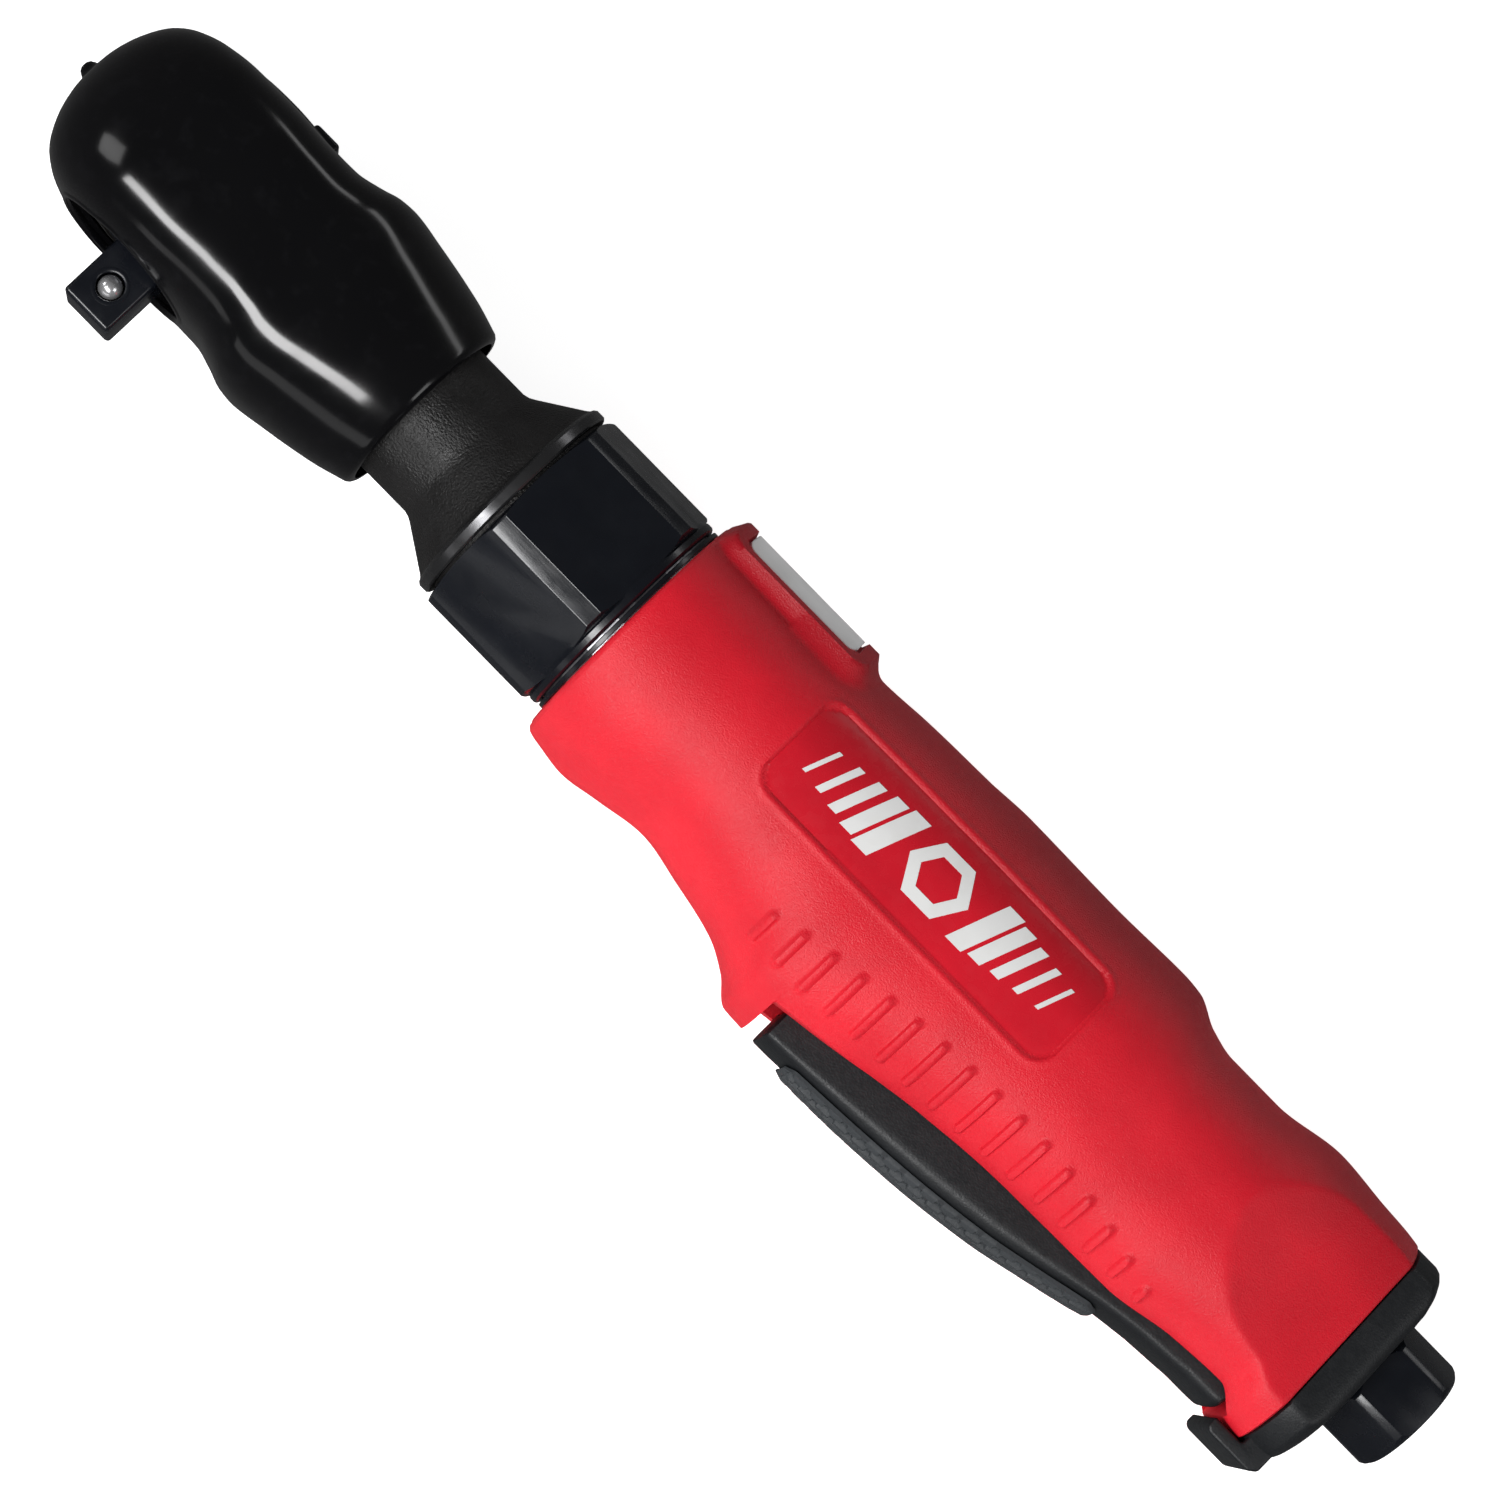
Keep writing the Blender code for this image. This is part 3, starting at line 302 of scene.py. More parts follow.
class Finish:
    """A procedural material, built node by node in the object's own coordinates."""

    def __init__(self, name, colour, roughness, metallic=0.0, coat=0.0, specular=0.5):
        self.material = bpy.data.materials.new(name)
        self.material.use_nodes = True
        self.tree = self.material.node_tree
        self.shader = self.tree.nodes["Principled BSDF"]
        self.coordinates = self.tree.nodes.new("ShaderNodeTexCoord").outputs["Object"]
        self.bump = None
        self.set("Base Color", (*colour, 1.0))
        self.set("Roughness", roughness)
        self.set("Metallic", metallic)
        self.set("Coat Weight", coat)
        self.set("Coat Roughness", 0.06)
        self.set("Specular IOR Level", specular)
        self.material.diffuse_color = (*colour, 1.0)

    def set(self, socket, value):
        self.shader.inputs[socket].default_value = value

    def noise(self, size, detail=3.0, stretch=None):
        """Noise whose features are about this many millimetres across."""
        source = self.coordinates
        if stretch:
            scale = self.tree.nodes.new("ShaderNodeMapping")
            scale.inputs["Scale"].default_value = stretch
            self.tree.links.new(source, scale.inputs["Vector"])
            source = scale.outputs["Vector"]
        noise = self.tree.nodes.new("ShaderNodeTexNoise")
        noise.inputs["Scale"].default_value = 1 / (size * MM)
        noise.inputs["Detail"].default_value = detail
        self.tree.links.new(source, noise.inputs["Vector"])
        return noise.outputs["Fac"]

    def spread(self, value, low, high, start=0.3, end=0.7):
        """The value carried from the range start-end to the range low-high."""
        span = self.tree.nodes.new("ShaderNodeMapRange")
        for socket, amount in (("From Min", start), ("From Max", end), ("To Min", low), ("To Max", high)):
            span.inputs[socket].default_value = amount
        self.tree.links.new(value, span.inputs["Value"])
        return span.outputs["Result"]

    def relief(self, height, depth, strength=1.0):
        """Adds bump of this depth in millimetres on top of the bump already there."""
        bump = self.tree.nodes.new("ShaderNodeBump")
        bump.inputs["Distance"].default_value = depth * MM
        bump.inputs["Strength"].default_value = strength
        self.tree.links.new(height, bump.inputs["Height"])
        if self.bump:
            self.tree.links.new(self.bump, bump.inputs["Normal"])
        self.bump = bump.outputs["Normal"]
        self.tree.links.new(self.bump, self.shader.inputs["Normal"])
        return self

    def rough(self, value, low, high, start=0.3, end=0.7):
        self.tree.links.new(self.spread(value, low, high, start, end), self.shader.inputs["Roughness"])
        return self

    def tint(self, value, other, start=0.35, end=0.65):
        """Blends the base colour towards another where the value is high."""
        mix = self.tree.nodes.new("ShaderNodeMix")
        mix.data_type = "RGBA"
        self.tree.links.new(self.spread(value, 0.0, 1.0, start, end), mix.inputs[0])
        now = self.shader.inputs["Base Color"]
        if now.is_linked:
            self.tree.links.new(now.links[0].from_socket, mix.inputs[6])
        else:
            mix.inputs[6].default_value = now.default_value
        mix.inputs[7].default_value = (*other, 1.0)
        self.tree.links.new(mix.outputs[2], now)
        return self

    def height_along(self, axis, low, high):
        """Nought below the low place on the axis and one above the high one, in world millimetres."""
        split = self.tree.nodes.new("ShaderNodeSeparateXYZ")
        self.tree.links.new(self.coordinates, split.inputs["Vector"])
        return self.spread(split.outputs[axis], 0.0, 1.0, low * MM, high * MM)


def cast(name, colour, grain, metallic=0.3, roughness=0.5):
    """Sand-cast or blasted metal under a dark finish."""
    made = Finish(name, colour, roughness, metallic)
    made.relief(made.noise(grain * 5, 4.0), 0.16, 0.5).relief(made.noise(grain, 2.0), 0.22, 1.0)
    made.rough(made.noise(6.0), roughness - 0.10, roughness + 0.12)
    made.tint(made.noise(9.0, 5.0), tuple(c * 1.7 for c in colour))
    return made.material


def machined(name, colour, roughness, metallic=1.0, coat=0.0, stretch=None, wear=1.35):
    """Turned or ground metal: faint tool marks, and patches of a slightly different polish."""
    made = Finish(name, colour, roughness, metallic, coat)
    made.relief(made.noise(0.35, 2.0, stretch), 0.012, 0.7)
    made.rough(made.noise(5.0, 4.0), roughness * 0.75, roughness * 1.35)
    made.tint(made.noise(7.0, 6.0), tuple(min(1.0, c * wear) for c in colour))
    return made.material


def moulded(name, colour, grain, roughness, depth=0.05, coat=0.0, dust=1.25):
    """Moulded plastic or rubber with a spark-eroded grain."""
    made = Finish(name, colour, roughness, 0.0, coat)
    made.relief(made.noise(grain * 6, 2.0), depth, 0.12).relief(made.noise(grain, 3.0), depth, 1.0)
    made.rough(made.noise(grain * 3), roughness - 0.05, roughness + 0.07)
    made.tint(made.noise(14.0, 4.0), tuple(min(1.0, c * dust) for c in colour), 0.3, 0.8)
    return made


def vinyl():
    """Dipped vinyl: a glassy skin that pooled and rippled a little as it cured."""
    made = Finish("dipped_vinyl", (0.0022, 0.0022, 0.0028), 0.17, 0.0, 0.10, 0.42)
    made.relief(made.noise(26.0, 1.0), 0.55, 0.5).relief(made.noise(7.0, 1.0), 0.03, 0.5)
    made.rough(made.noise(12.0, 3.0), 0.11, 0.20)
    made.tint(made.noise(3.0, 6.0), (0.005, 0.005, 0.006), 0.55, 0.8)
    return made.material


def red_grip():
    """Red glass-filled nylon: a fine grain, and painted shade that deepens the colour along the top."""
    made = moulded("red_nylon", (0.68, 0.012, 0.026), 0.26, 0.38, 0.11)
    # Painted shade: the red is blended darker towards the top of the grip (+Y), where the lamps light it
    # less.
    made.tint(made.height_along("Y", DRIVE_REACH + 4.0, DRIVE_REACH + 23.0), (0.30, 0.004, 0.011), 0.0, 1.0)
    made.set("Specular IOR Level", 0.30)
    return made.material


def red_panel():
    """The smoother, glossier floor of the panel at each side of the grip, with painted shade that darkens
    it along the top.
    """
    made = moulded("red_panel_gloss", (0.60, 0.009, 0.022), 0.6, 0.26, 0.008, 0.10)
    # Painted shade: the panel's red is blended darker towards the top (+Y), where the lamps light it less.
    made.tint(made.height_along("Y", DRIVE_REACH + 2.0, DRIVE_REACH + 23.0), (0.26, 0.003, 0.008), 0.0, 1.0)
    return made.material


def white_print():
    """Opaque white ink, a little worn."""
    made = Finish("white_print", (0.86, 0.86, 0.85), 0.35, 0.0, 0.1)
    made.relief(made.noise(0.6), 0.01, 0.5)
    made.rough(made.noise(3.0), 0.28, 0.42)
    made.tint(made.noise(5.0, 5.0), (0.78, 0.77, 0.75), 0.5, 0.9)
    return made.material


def felt():
    """Pressed fibre of the exhaust muffler."""
    made = Finish("muffler_felt", (0.33, 0.32, 0.29), 0.9)
    made.relief(made.noise(0.5, 6.0, (1.0, 1.0, 0.4)), 0.3, 0.9)
    made.tint(made.noise(2.0, 5.0), (0.20, 0.19, 0.17))
    return made.material


SIDEWAYS = (0.15, 1.0, 1.0)
ROUND_MARKS = (1.0, 0.12, 0.12)
LOOKS = {
    "vinyl": vinyl(),
    "cast_black": cast("cast_black", (0.0062, 0.0058, 0.0058), 0.40, 0.05, 0.46),
    "black_oxide": machined("black_oxide", (0.0045, 0.0055, 0.0085), 0.24, 0.10, 0.15, SIDEWAYS, 1.2),
    "steel": machined("ground_steel", (0.42, 0.42, 0.44), 0.30, stretch=ROUND_MARKS),
    "polished_steel": machined("polished_steel", (0.80, 0.80, 0.82), 0.22, 0.85, wear=1.1),
    "spring_steel": machined("spring_steel", (0.26, 0.26, 0.28), 0.34, stretch=ROUND_MARKS),
    "brass": machined("brass", (0.55, 0.39, 0.14), 0.28, stretch=ROUND_MARKS, wear=1.25),
    "red_composite": red_grip(),
    "red_panel": red_panel(),
    "grey_composite": moulded("black_nylon", (0.0075, 0.0085, 0.010), 0.35, 0.46, 0.06).material,
    "pad_rubber": moulded("pad_rubber", (0.030, 0.034, 0.038), 0.30, 0.60, 0.05).material,
    "vane_resin": moulded("vane_resin", (0.16, 0.085, 0.035), 0.6, 0.55, 0.03, 0.0, 1.6).material,
    "aluminium": machined("satin_aluminium", (0.52, 0.52, 0.51), 0.36, 1.0, 0.0, SIDEWAYS, 1.12),
    "bright_plate": machined("bright_plate", (0.86, 0.86, 0.86), 0.42, 0.35, 0.0, SIDEWAYS, 1.04),
    "muffler_felt": felt(),
    "seal_rubber": moulded("seal_rubber", (0.010, 0.010, 0.010), 0.5, 0.55, 0.02).material,
    "white_print": white_print(),
    "flange_rim": machined("flange_rim", (0.085, 0.085, 0.088), 0.24, 0.9, stretch=ROUND_MARKS),
}


def dress(obj, look, body, node):
    """Gives the piece its material, hangs it on its body and lets it stand for its CAD node."""
    if not obj.data.materials:
        obj.data.materials.append(LOOKS[look])
    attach(obj, body)
    if node:
        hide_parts(node)
    return obj


def finish_cad_nodes():
    """The inner CAD pieces keep their shape and take a procedural material by their slot's name."""
    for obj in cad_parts.values():
        for place in obj.material_slots:
            if place.material and place.material.name.split(".")[0] in LOOKS:
                place.material = LOOKS[place.material.name.split(".")[0]]


def look_at(obj, place, forward, up):
    """Puts the object at this place, looking forward, with its top towards up."""
    back = -forward.normalized()
    right = up.cross(back).normalized()
    true_up = back.cross(right)
    rotation = [[right[i], true_up[i], back[i]] for i in range(3)]
    obj.matrix_world = Matrix.Translation(place) @ Matrix(rotation).to_4x4()
    return obj


def soft_light(name, direction, distance, size, watts):
    """A large soft panel that faces the tool from this direction."""
    data = bpy.data.lights.new(name, "AREA")
    data.shape = "RECTANGLE"
    data.size, data.size_y = size
    data.energy = watts
    obj = bpy.data.objects.new(name, data)
    bpy.context.scene.collection.objects.link(obj)
    place = LIT_PLACE + Vector(direction).normalized() * distance
    obj.location = place
    obj.rotation_euler = (place - LIT_PLACE).to_track_quat("Z", "Y").to_euler()
    return obj


def make_camera():
    """Looks down at the tool as it lies, from a little way towards its underside."""
    tilt, roll = math.radians(8.5), math.radians(45.6)
    target = Vector((121.2, DRIVE_REACH - 0.6, 0.0)) * MM
    forward = Vector((0, math.sin(tilt), -math.cos(tilt)))
    level_up = Vector((0, math.cos(tilt), math.sin(tilt)))
    up = -math.sin(roll) * Vector((1, 0, 0)) + math.cos(roll) * level_up
    data = bpy.data.cameras.new("camera")
    data.lens = 114.0
    data.sensor_width = 36.0
    data.clip_start = 0.01
    camera = bpy.data.objects.new("camera", data)
    bpy.context.scene.collection.objects.link(camera)
    look_at(camera, target - forward * 0.747, forward, up)
    bpy.context.scene.camera = camera


def make_stage():
    """A pale floor just under the tool; glossy finishes mirror the room and the lights, not the floor."""
    floor_z = CAD_BOX[0][2] - 0.0002
    bm = bmesh.new()
    bmesh.ops.create_grid(bm, x_segments=2, y_segments=2, size=6.0)
    floor = from_bmesh("floor", bm)
    floor.location = (0.12, 0.03, floor_z)
    made = Finish("pale_floor", (0.92, 0.92, 0.92), 0.95, specular=0.0)
    made.set("Emission Color", (1.0, 1.0, 1.0, 1.0))
    made.set("Emission Strength", 0.86)
    made.relief(made.noise(2.0), 0.05, 0.3)
    floor.data.materials.append(made.material)
    floor.visible_glossy = False


def make_lights():
    """A key and a low fill from the drive side, fills behind and by the head, a strip along the top
    and a dim room."""
    view = bpy.context.scene.view_settings
    view.view_transform = "Standard"
    world = bpy.data.worlds.new("studio")
    world.use_nodes = True
    background = world.node_tree.nodes["Background"]
    background.inputs["Color"].default_value = (1, 1, 1, 1)
    background.inputs["Strength"].default_value = 0.08
    bpy.context.scene.world = world
    soft_light("key", (-0.12, -0.62, 0.78), 0.80, (0.70, 0.17), 6.4)
    soft_light("low_fill", (0.1, -1.0, 0.10), 0.90, (0.80, 0.22), 0.4)
    soft_light("rear_fill", (0.75, 0.10, 0.65), 0.90, (0.35, 0.35), 1.0)
    soft_light("head_fill", (-1.0, -0.30, 0.55), 0.90, (0.25, 0.25), 0.5)
    soft_light("top_strip", (0.1, 1.0, 0.30), 0.80, (0.60, 0.10), 0.45)


def boot_rings(inset, stations, steps):
    nose = -HEAD[0][0]
    rings = []
    for x in stations:
        source = x * nose / (nose - inset) if x < 0 else x
        height, width, power = (float(through(HEAD, i, source)[0]) for i in (1, 2, 3))
        angle = np.arange(steps) * math.tau / steps
        height, width = max(height - inset, 0.8), max(width - inset, 0.8)
        radius = polar(height, height, width, power, power, angle)
        rings.append([(x, r * math.cos(a), r * math.sin(a)) for r, a in zip(radius, angle)])
    return rings


def boot_height(x, z):
    """Height of the boot's surface over this place, above the tool axis."""
    height, width, power = (float(through(HEAD, i, x)[0]) for i in (1, 2, 3))
    return height * max(0.0, 1 - abs(z / width) ** power) ** (1 / power)


def rolled_lip(name, path, radius):
    """A closed roll of vinyl along a path, as dipping leaves round an opening."""
    rings = []
    count = len(path)
    for i, point in enumerate(path):
        ahead = Vector(path[(i + 1) % count]) - Vector(path[i - 1])
        side = ahead.cross(Vector((0, 1, 0))).normalized()
        up = side.cross(ahead).normalized()
        rings.append([tuple(Vector(point) + radius * (math.cos(a) * side + math.sin(a) * up))
                      for a in (math.tau * j / 10 for j in range(10))])
    return skin(name, rings, closed=True, angle=80)


def lip_path(side, radius, middle, count=72):
    """A circle round an opening, laid just under the boot's surface above (1) or below (-1) the axis."""
    path = []
    for i in range(count):
        angle = math.tau * i / count
        x = middle + radius * math.cos(angle)
        z = radius * math.sin(angle)
        path.append((x, side * (boot_height(x, z) - 0.62), z))
    return path


def make_boot():
    """Dipped boot with its drip nub, the drive hole below, the knob hole above and rolled lips."""
    steps = 128
    nub_profile = ((-29.1, 0.35), (-29.0, 0.75), (-28.7, 1.2), (-28.2, 1.5), (-27.7, 1.75))
    nub = [[(x, r * math.cos(math.tau * i / steps), r * math.sin(math.tau * i / steps))
            for i in range(steps)] for x, r in nub_profile]
    front = [-27.2, -27.0, -26.7, -26.4, -26.0, -25.5, -25.0]
    outside = front + list(np.linspace(-24.3, 46.4, 110))
    lip = [(46.9, 0.25), (47.2, 0.7)]
    rings = nub + boot_rings(0, outside, steps)
    rings += [boot_rings(inset, [x], steps)[0] for x, inset in lip]
    boot = skin("boot_skin", rings, angle=80)
    inside = list(np.linspace(-25.0, 47.6, 60))
    hollow = skin("boot_hollow", boot_rings(BOOT_WALL, inside, steps))
    drive_hole = rod("drive_cutter", DRIVE_OPENING, -30, -8, along="Y", at=(DRIVE_OPENING_X, 0, 0))
    knob_hole = rod("knob_cutter", KNOB_OPENING, 8, 30, along="Y")
    mouth = rod("mouth_cutter", 15.0, 44.0, 49.0)
    cut(boot, hollow, drive_hole, knob_hole, mouth)
    shade(boot, 50)
    for name, side, radius, middle in (("drive_lip", -1, DRIVE_OPENING, DRIVE_OPENING_X),
                                       ("knob_lip", 1, KNOB_OPENING, 0.0)):
        lip_roll = rolled_lip(name, lip_path(side, radius + 0.55, middle), LIP_RADIUS)
        dress(lip_roll, "vinyl", "housing", None)
    dress(boot, "vinyl", "housing", "boot")


def make_housing():
    """Cast head, neck and flange, bored for the yoke, the crank and the gear train."""
    stations = [-24.0, -23.6, -22.6, -21.0] + list(np.linspace(-19.0, 37.0, 44))
    taper = [[(43.0, 13.0 * math.cos(math.tau * i / 96), 13.0 * math.sin(math.tau * i / 96))
              for i in range(96)]]
    housing = skin("head_casting", boot_rings(2.4, stations, 96) + taper, angle=40)
    neck = turned("neck", [
        (33, 13.1), (56.4, 13.1), (57.4, 13.35), (58.3, 13.85), (65.2, 18.35), (65.75, 18.8),
        (66.0, 19.3), (66.4, 19.6), (67.8, 19.6), (68.1, 19.3), (68.1, 17.9), (80, 17.9)])
    chamber = rod("chamber_cutter", 17.4, -6.8, 5.6, along="Y")
    fork_room = block("fork_cutter", (8, -5.7, -12.2), (33, 5.5, 12.2))
    drive_bore = rod("drive_bore_cutter", 10.2, -20, -5, along="Y")
    knob_bore = turned("knob_bore_cutter", [(5, 8.8), (13, 8.8), (13, 10.4), (20, 10.4)], along="Y")
    crank_bore = turned("crank_bore_cutter", [
        (30, 7.9), (66, 7.9), (66, 13.6), (70, 13.6), (70, 17.3), (81, 17.3)])
    join(housing, neck)
    cut(housing, chamber, fork_room, drive_bore, knob_bore, crank_bore)
    mesh = shade(housing, 32).data
    mesh.materials.append(LOOKS["cast_black"])
    mesh.materials.append(LOOKS["flange_rim"])
    for face in mesh.polygons:
        x = face.center.x / MM
        y, z = face.center.y / MM - DRIVE_REACH, face.center.z / MM
        if 65.75 < x < 68.2 and math.hypot(y, z) > 18.85:
            face.material_index = 1
    dress(housing, "cast_black", "housing", "ratchet_housing")


def make_anvil():
    """Drive anvil: the slotted disc that holds the pawl, two journals and the square."""
    half = DRIVE_SQUARE / 2
    anvil = turned("anvil", [
        (-15.0, 9.3), (-14.8, 9.6), (-14.4, 9.9), (-5.3, 9.9), (-5.3, 11.5), (5.3, 11.5), (5.3, 8.4),
        (13.3, 8.4), (13.3, 7.6), (14.3, 7.6), (14.3, 8.4), (14.8, 8.4)], along="Y")
    low, high = -DRIVE_REACH, -13.5
    square = block("drive_square", (-half, low, -half), (half, high, half))
    soften(square, 0.75, 4)
    collar = turned("square_root", [(-15.9, 5.0), (-15.4, 5.6), (-14.9, 6.9), (-13.9, 7.2)], along="Y")
    slot = block("pawl_slot_cutter", (-14, -4.1, -14), (-1.2, 4.1, 14))
    bore = rod("knob_stem_cutter", 5.0, -4.6, 16, along="Y")
    pin_hole = rod("pawl_pin_cutter", 1.8, -6, 6, along="Y", at=(-8.2, 0, 0), steps=32)
    detent_hole = turned("detent_cutter", [(-3.4, 2.3), (half - 0.35, 2.3), (half + 0.2, 2.7), (8, 2.7)],
                         at=(0, DETENT_Y, 0), along="Z", steps=64)
    join(anvil, square, collar)
    cut(anvil, slot, bore, pin_hole, detent_hole)
    shade(anvil, 32)
    dress(anvil, "black_oxide", "anvil", "drive_anvil")
    staking = turned("staked_ring", [
        (half - 0.06, 2.32), (half + 0.05, 2.45), (half + 0.10, 2.75), (half + 0.05, 3.05),
        (half - 0.06, 3.15)], closed=True, along="Z", at=(0, DETENT_Y, 0), steps=64)
    dress(staking, "black_oxide", "anvil", None)
    points = [(2.0 * math.sin(a), 2.0 * math.cos(a)) for a in np.linspace(0.02, math.pi - 0.02, 32)]
    detent = turned("detent", [(3.9 - c, s) for s, c in points], along="Z", at=(0, DETENT_Y, 0),
                    steps=64, angle=80)
    dress(detent, "polished_steel", "detent", "detent_ball")


def make_knob():
    """Reverse knob with a grip tab; its stem carries the plunger that biases the pawl."""
    knob = turned("knob", [
        (-4.2, 4.3), (-3.9, 4.6), (15.1, 4.6), (15.1, 8.7), (15.3, 8.9), (16.6, 8.9), (17.0, 8.75),
        (17.3, 8.2), (17.3, 6.4), (16.9, 6.2), (16.9, 5.0), (17.3, 4.8)], along="Y")
    tab = block("knob_tab", (3.1, 16.0, -3.2), (8.4, 19.6, 3.2))
    soften(tab, 0.7, 4)
    cross_hole = rod("cross_cutter", 1.6, -6, 3.4, along="X", steps=48)
    join(knob, tab)
    shade(cut(knob, cross_hole), 32)
    dress(knob, "black_oxide", "knob", "reverse_knob")


def hexagon(half_flats, turn):
    """Corners of a hexagon this far from its axis to its flats, one flat turned from +Y towards +Z."""
    corner = half_flats / math.cos(math.radians(30))
    angles = [math.radians(turn + 30 + 60 * i) for i in range(6)]
    return [(corner * math.cos(a), corner * math.sin(a)) for a in angles]


def make_clamp_nut():
    """Clamp nut: six flats turned down at both ends, with a plain collar behind."""
    hexed = prism("nut", hexagon(NUT_HALF_FLATS, NUT_TURN), 68.7, 90.9, along="X")
    envelope = turned("nut_envelope", [
        (68.7, 18.9), (69.0, 20.0), (69.3, 20.8), (69.6, 21.0), (90.2, 21.0), (90.6, 20.4), (90.9, 19.5)])
    combine(hexed, "INTERSECT", envelope)
    soften(hexed, 0.35, 3, 20)
    collar = turned("nut_collar", [
        (90.4, 19.2), (91.0, 19.45), (91.2, 19.6), (92.1, 19.6), (92.4, 19.4), (92.6, 19.1)])
    join(hexed, collar)
    cut(hexed, rod("nut_cutter", 18.5, 60, 100))
    shade(hexed, 25)
    dress(hexed, "black_oxide", "housing", "clamp_nut")
    ring = turned("spacer", [(92.9, 19.3), (93.0, 19.4), (93.6, 19.4), (93.7, 19.3), (93.7, 18.7),
                             (92.9, 18.7)], closed=True)
    dress(ring, "black_oxide", "housing", "spacer_ring")


def make_inlet():
    """Inlet bushing: a chamfered hexagon with a plain socket, screwed in behind the valve."""
    hexed = prism("bushing", hexagon(INLET_HALF_FLATS, INLET_TURN), 257.9, 269.2, along="X")
    envelope = turned("bushing_envelope", [
        (257.9, 9.9), (258.5, 10.4), (259.0, 10.62), (268.0, 10.62), (268.7, 10.2), (269.2, 9.5)])
    combine(hexed, "INTERSECT", envelope)
    soften(hexed, 0.12, 2, 20)
    stem = turned("bushing_stem", [
        (236.4, 9.0), (236.8, 9.3), (238.9, 9.3), (239.0, 8.2), (241.4, 8.2), (241.5, 9.3), (258.4, 9.3)])
    join(hexed, stem)
    bore = turned("bushing_cutter", [
        (230.0, 4.6), (251.9, 4.6), (252.0, 5.8), (267.9, 5.8), (268.6, 6.0), (269.3, 6.6), (270.0, 6.6)])
    shade(cut(hexed, bore), 25)
    dress(hexed, "black_oxide", "housing", "inlet_bushing")


PANEL_X = (124.3, 187.1)
PANEL_ANGLES = (56.0, 107.0)
PANEL_CORNER = 3.8
PANEL_DEPTH = 0.62
RIB_COUNT = 16
RIB_START = 141.9
RIB_PITCH = 5.42
RIB_HALF = 0.9
RIB_RISE = 0.70
PLATE_X = (97.95, 122.15)
PLATE_HALF_ANGLE = 36.8


def box_distance(u, v, half_u, half_v, corner):
    """Signed distance from a rounded rectangle centred on nought; negative inside."""
    du = np.abs(u) - half_u + corner
    dv = np.abs(v) - half_v + corner
    outside = np.hypot(np.maximum(du, 0.0), np.maximum(dv, 0.0))
    return outside + np.minimum(np.maximum(du, dv), 0.0) - corner


def panel_distance(x, degrees):
    """Signed distance in millimetres from the edge of the side panel; the two sides mirror."""
    folded = np.abs(np.where(degrees > 180, 360 - degrees, degrees))
    middle = sum(PANEL_ANGLES) / 2
    arc_mm = PANEL_SURFACE * math.tau / 360
    return box_distance(x - sum(PANEL_X) / 2, (folded - middle) * arc_mm,
                        (PANEL_X[1] - PANEL_X[0]) / 2, (PANEL_ANGLES[1] - middle) * arc_mm, PANEL_CORNER)


def rib_span(x):
    """Heights of the upper and the lower end of a rib that stands at this place."""
    crest, highest = 193.0, -12.7
    fall_forward = 5.0 * ((x - crest) / 51.1) ** 2
    fall_back = 4.2 * ((x - crest) / 30.2) ** 2
    upper = np.where(x < crest, highest - fall_forward, highest - fall_back)
    lower = np.interp(x, [141.9, 152.0, 170.0, 200.0, 223.2], [-23.4, -24.0, -22.4, -20.2, -19.9])
    return upper, lower


def rib_rise(x, y):
    """Soft raised ribs, round at both ends."""
    number = np.clip(np.round((x - RIB_START) / RIB_PITCH), 0, RIB_COUNT - 1)
    middle = RIB_START + number * RIB_PITCH
    upper, lower = rib_span(middle)
    beyond = np.maximum(np.maximum(y - upper + RIB_HALF, lower + RIB_HALF - y), 0.0)
    distance = np.hypot(x - middle, beyond)
    return RIB_RISE * (1 - smoothstep(0.45, 0.95, distance))


def bezel_radius(x, degrees, body):
    """Raised surround of the name plate, faired into the grip, with the plate's recess in it."""
    folded = np.where(degrees > 180, 360 - degrees, degrees)
    arc_mm = BEZEL_ARC * math.tau / 360
    v = folded * arc_mm
    edge = box_distance(x - 110.2, v, 14.6, 41.0 * arc_mm, 3.0)
    reach = np.where(x > 112, 3.6, 2.2)
    shoulder = np.clip(1 - edge / reach, 0.0, 1.0)
    raised = body + (BEZEL_SURFACE - body) * np.where(edge < 0, 1.0, shoulder ** 2.2)
    raised = np.where(body > BEZEL_SURFACE, body, raised)
    inside = box_distance(x - sum(PLATE_X) / 2, v, (PLATE_X[1] - PLATE_X[0]) / 2 + 0.1,
                          (PLATE_HALF_ANGLE + 0.3) * arc_mm, 2.1)
    floor = 23.3 + 1.2 * smoothstep(-0.25, 0.10, inside)
    return np.minimum(raised, np.where(inside < 0.1, floor, 99.0))


def flat_limit(x, radius, angle, soft=0.35):
    """Cuts the radius back to the flattened side, with a slightly softened edge."""
    limit = through(FLATS, 1, x)[0] if x > FLATS[0][0] else 99.0
    facing = math.sin(FLAT_TILT) * np.cos(angle) + math.cos(FLAT_TILT) * np.abs(np.sin(angle))
    allowed = limit / np.maximum(facing, 0.05)
    mix = np.clip(0.5 + 0.5 * (allowed - radius) / soft, 0.0, 1.0)
    return allowed * (1 - mix) + radius * mix - soft * mix * (1 - mix)


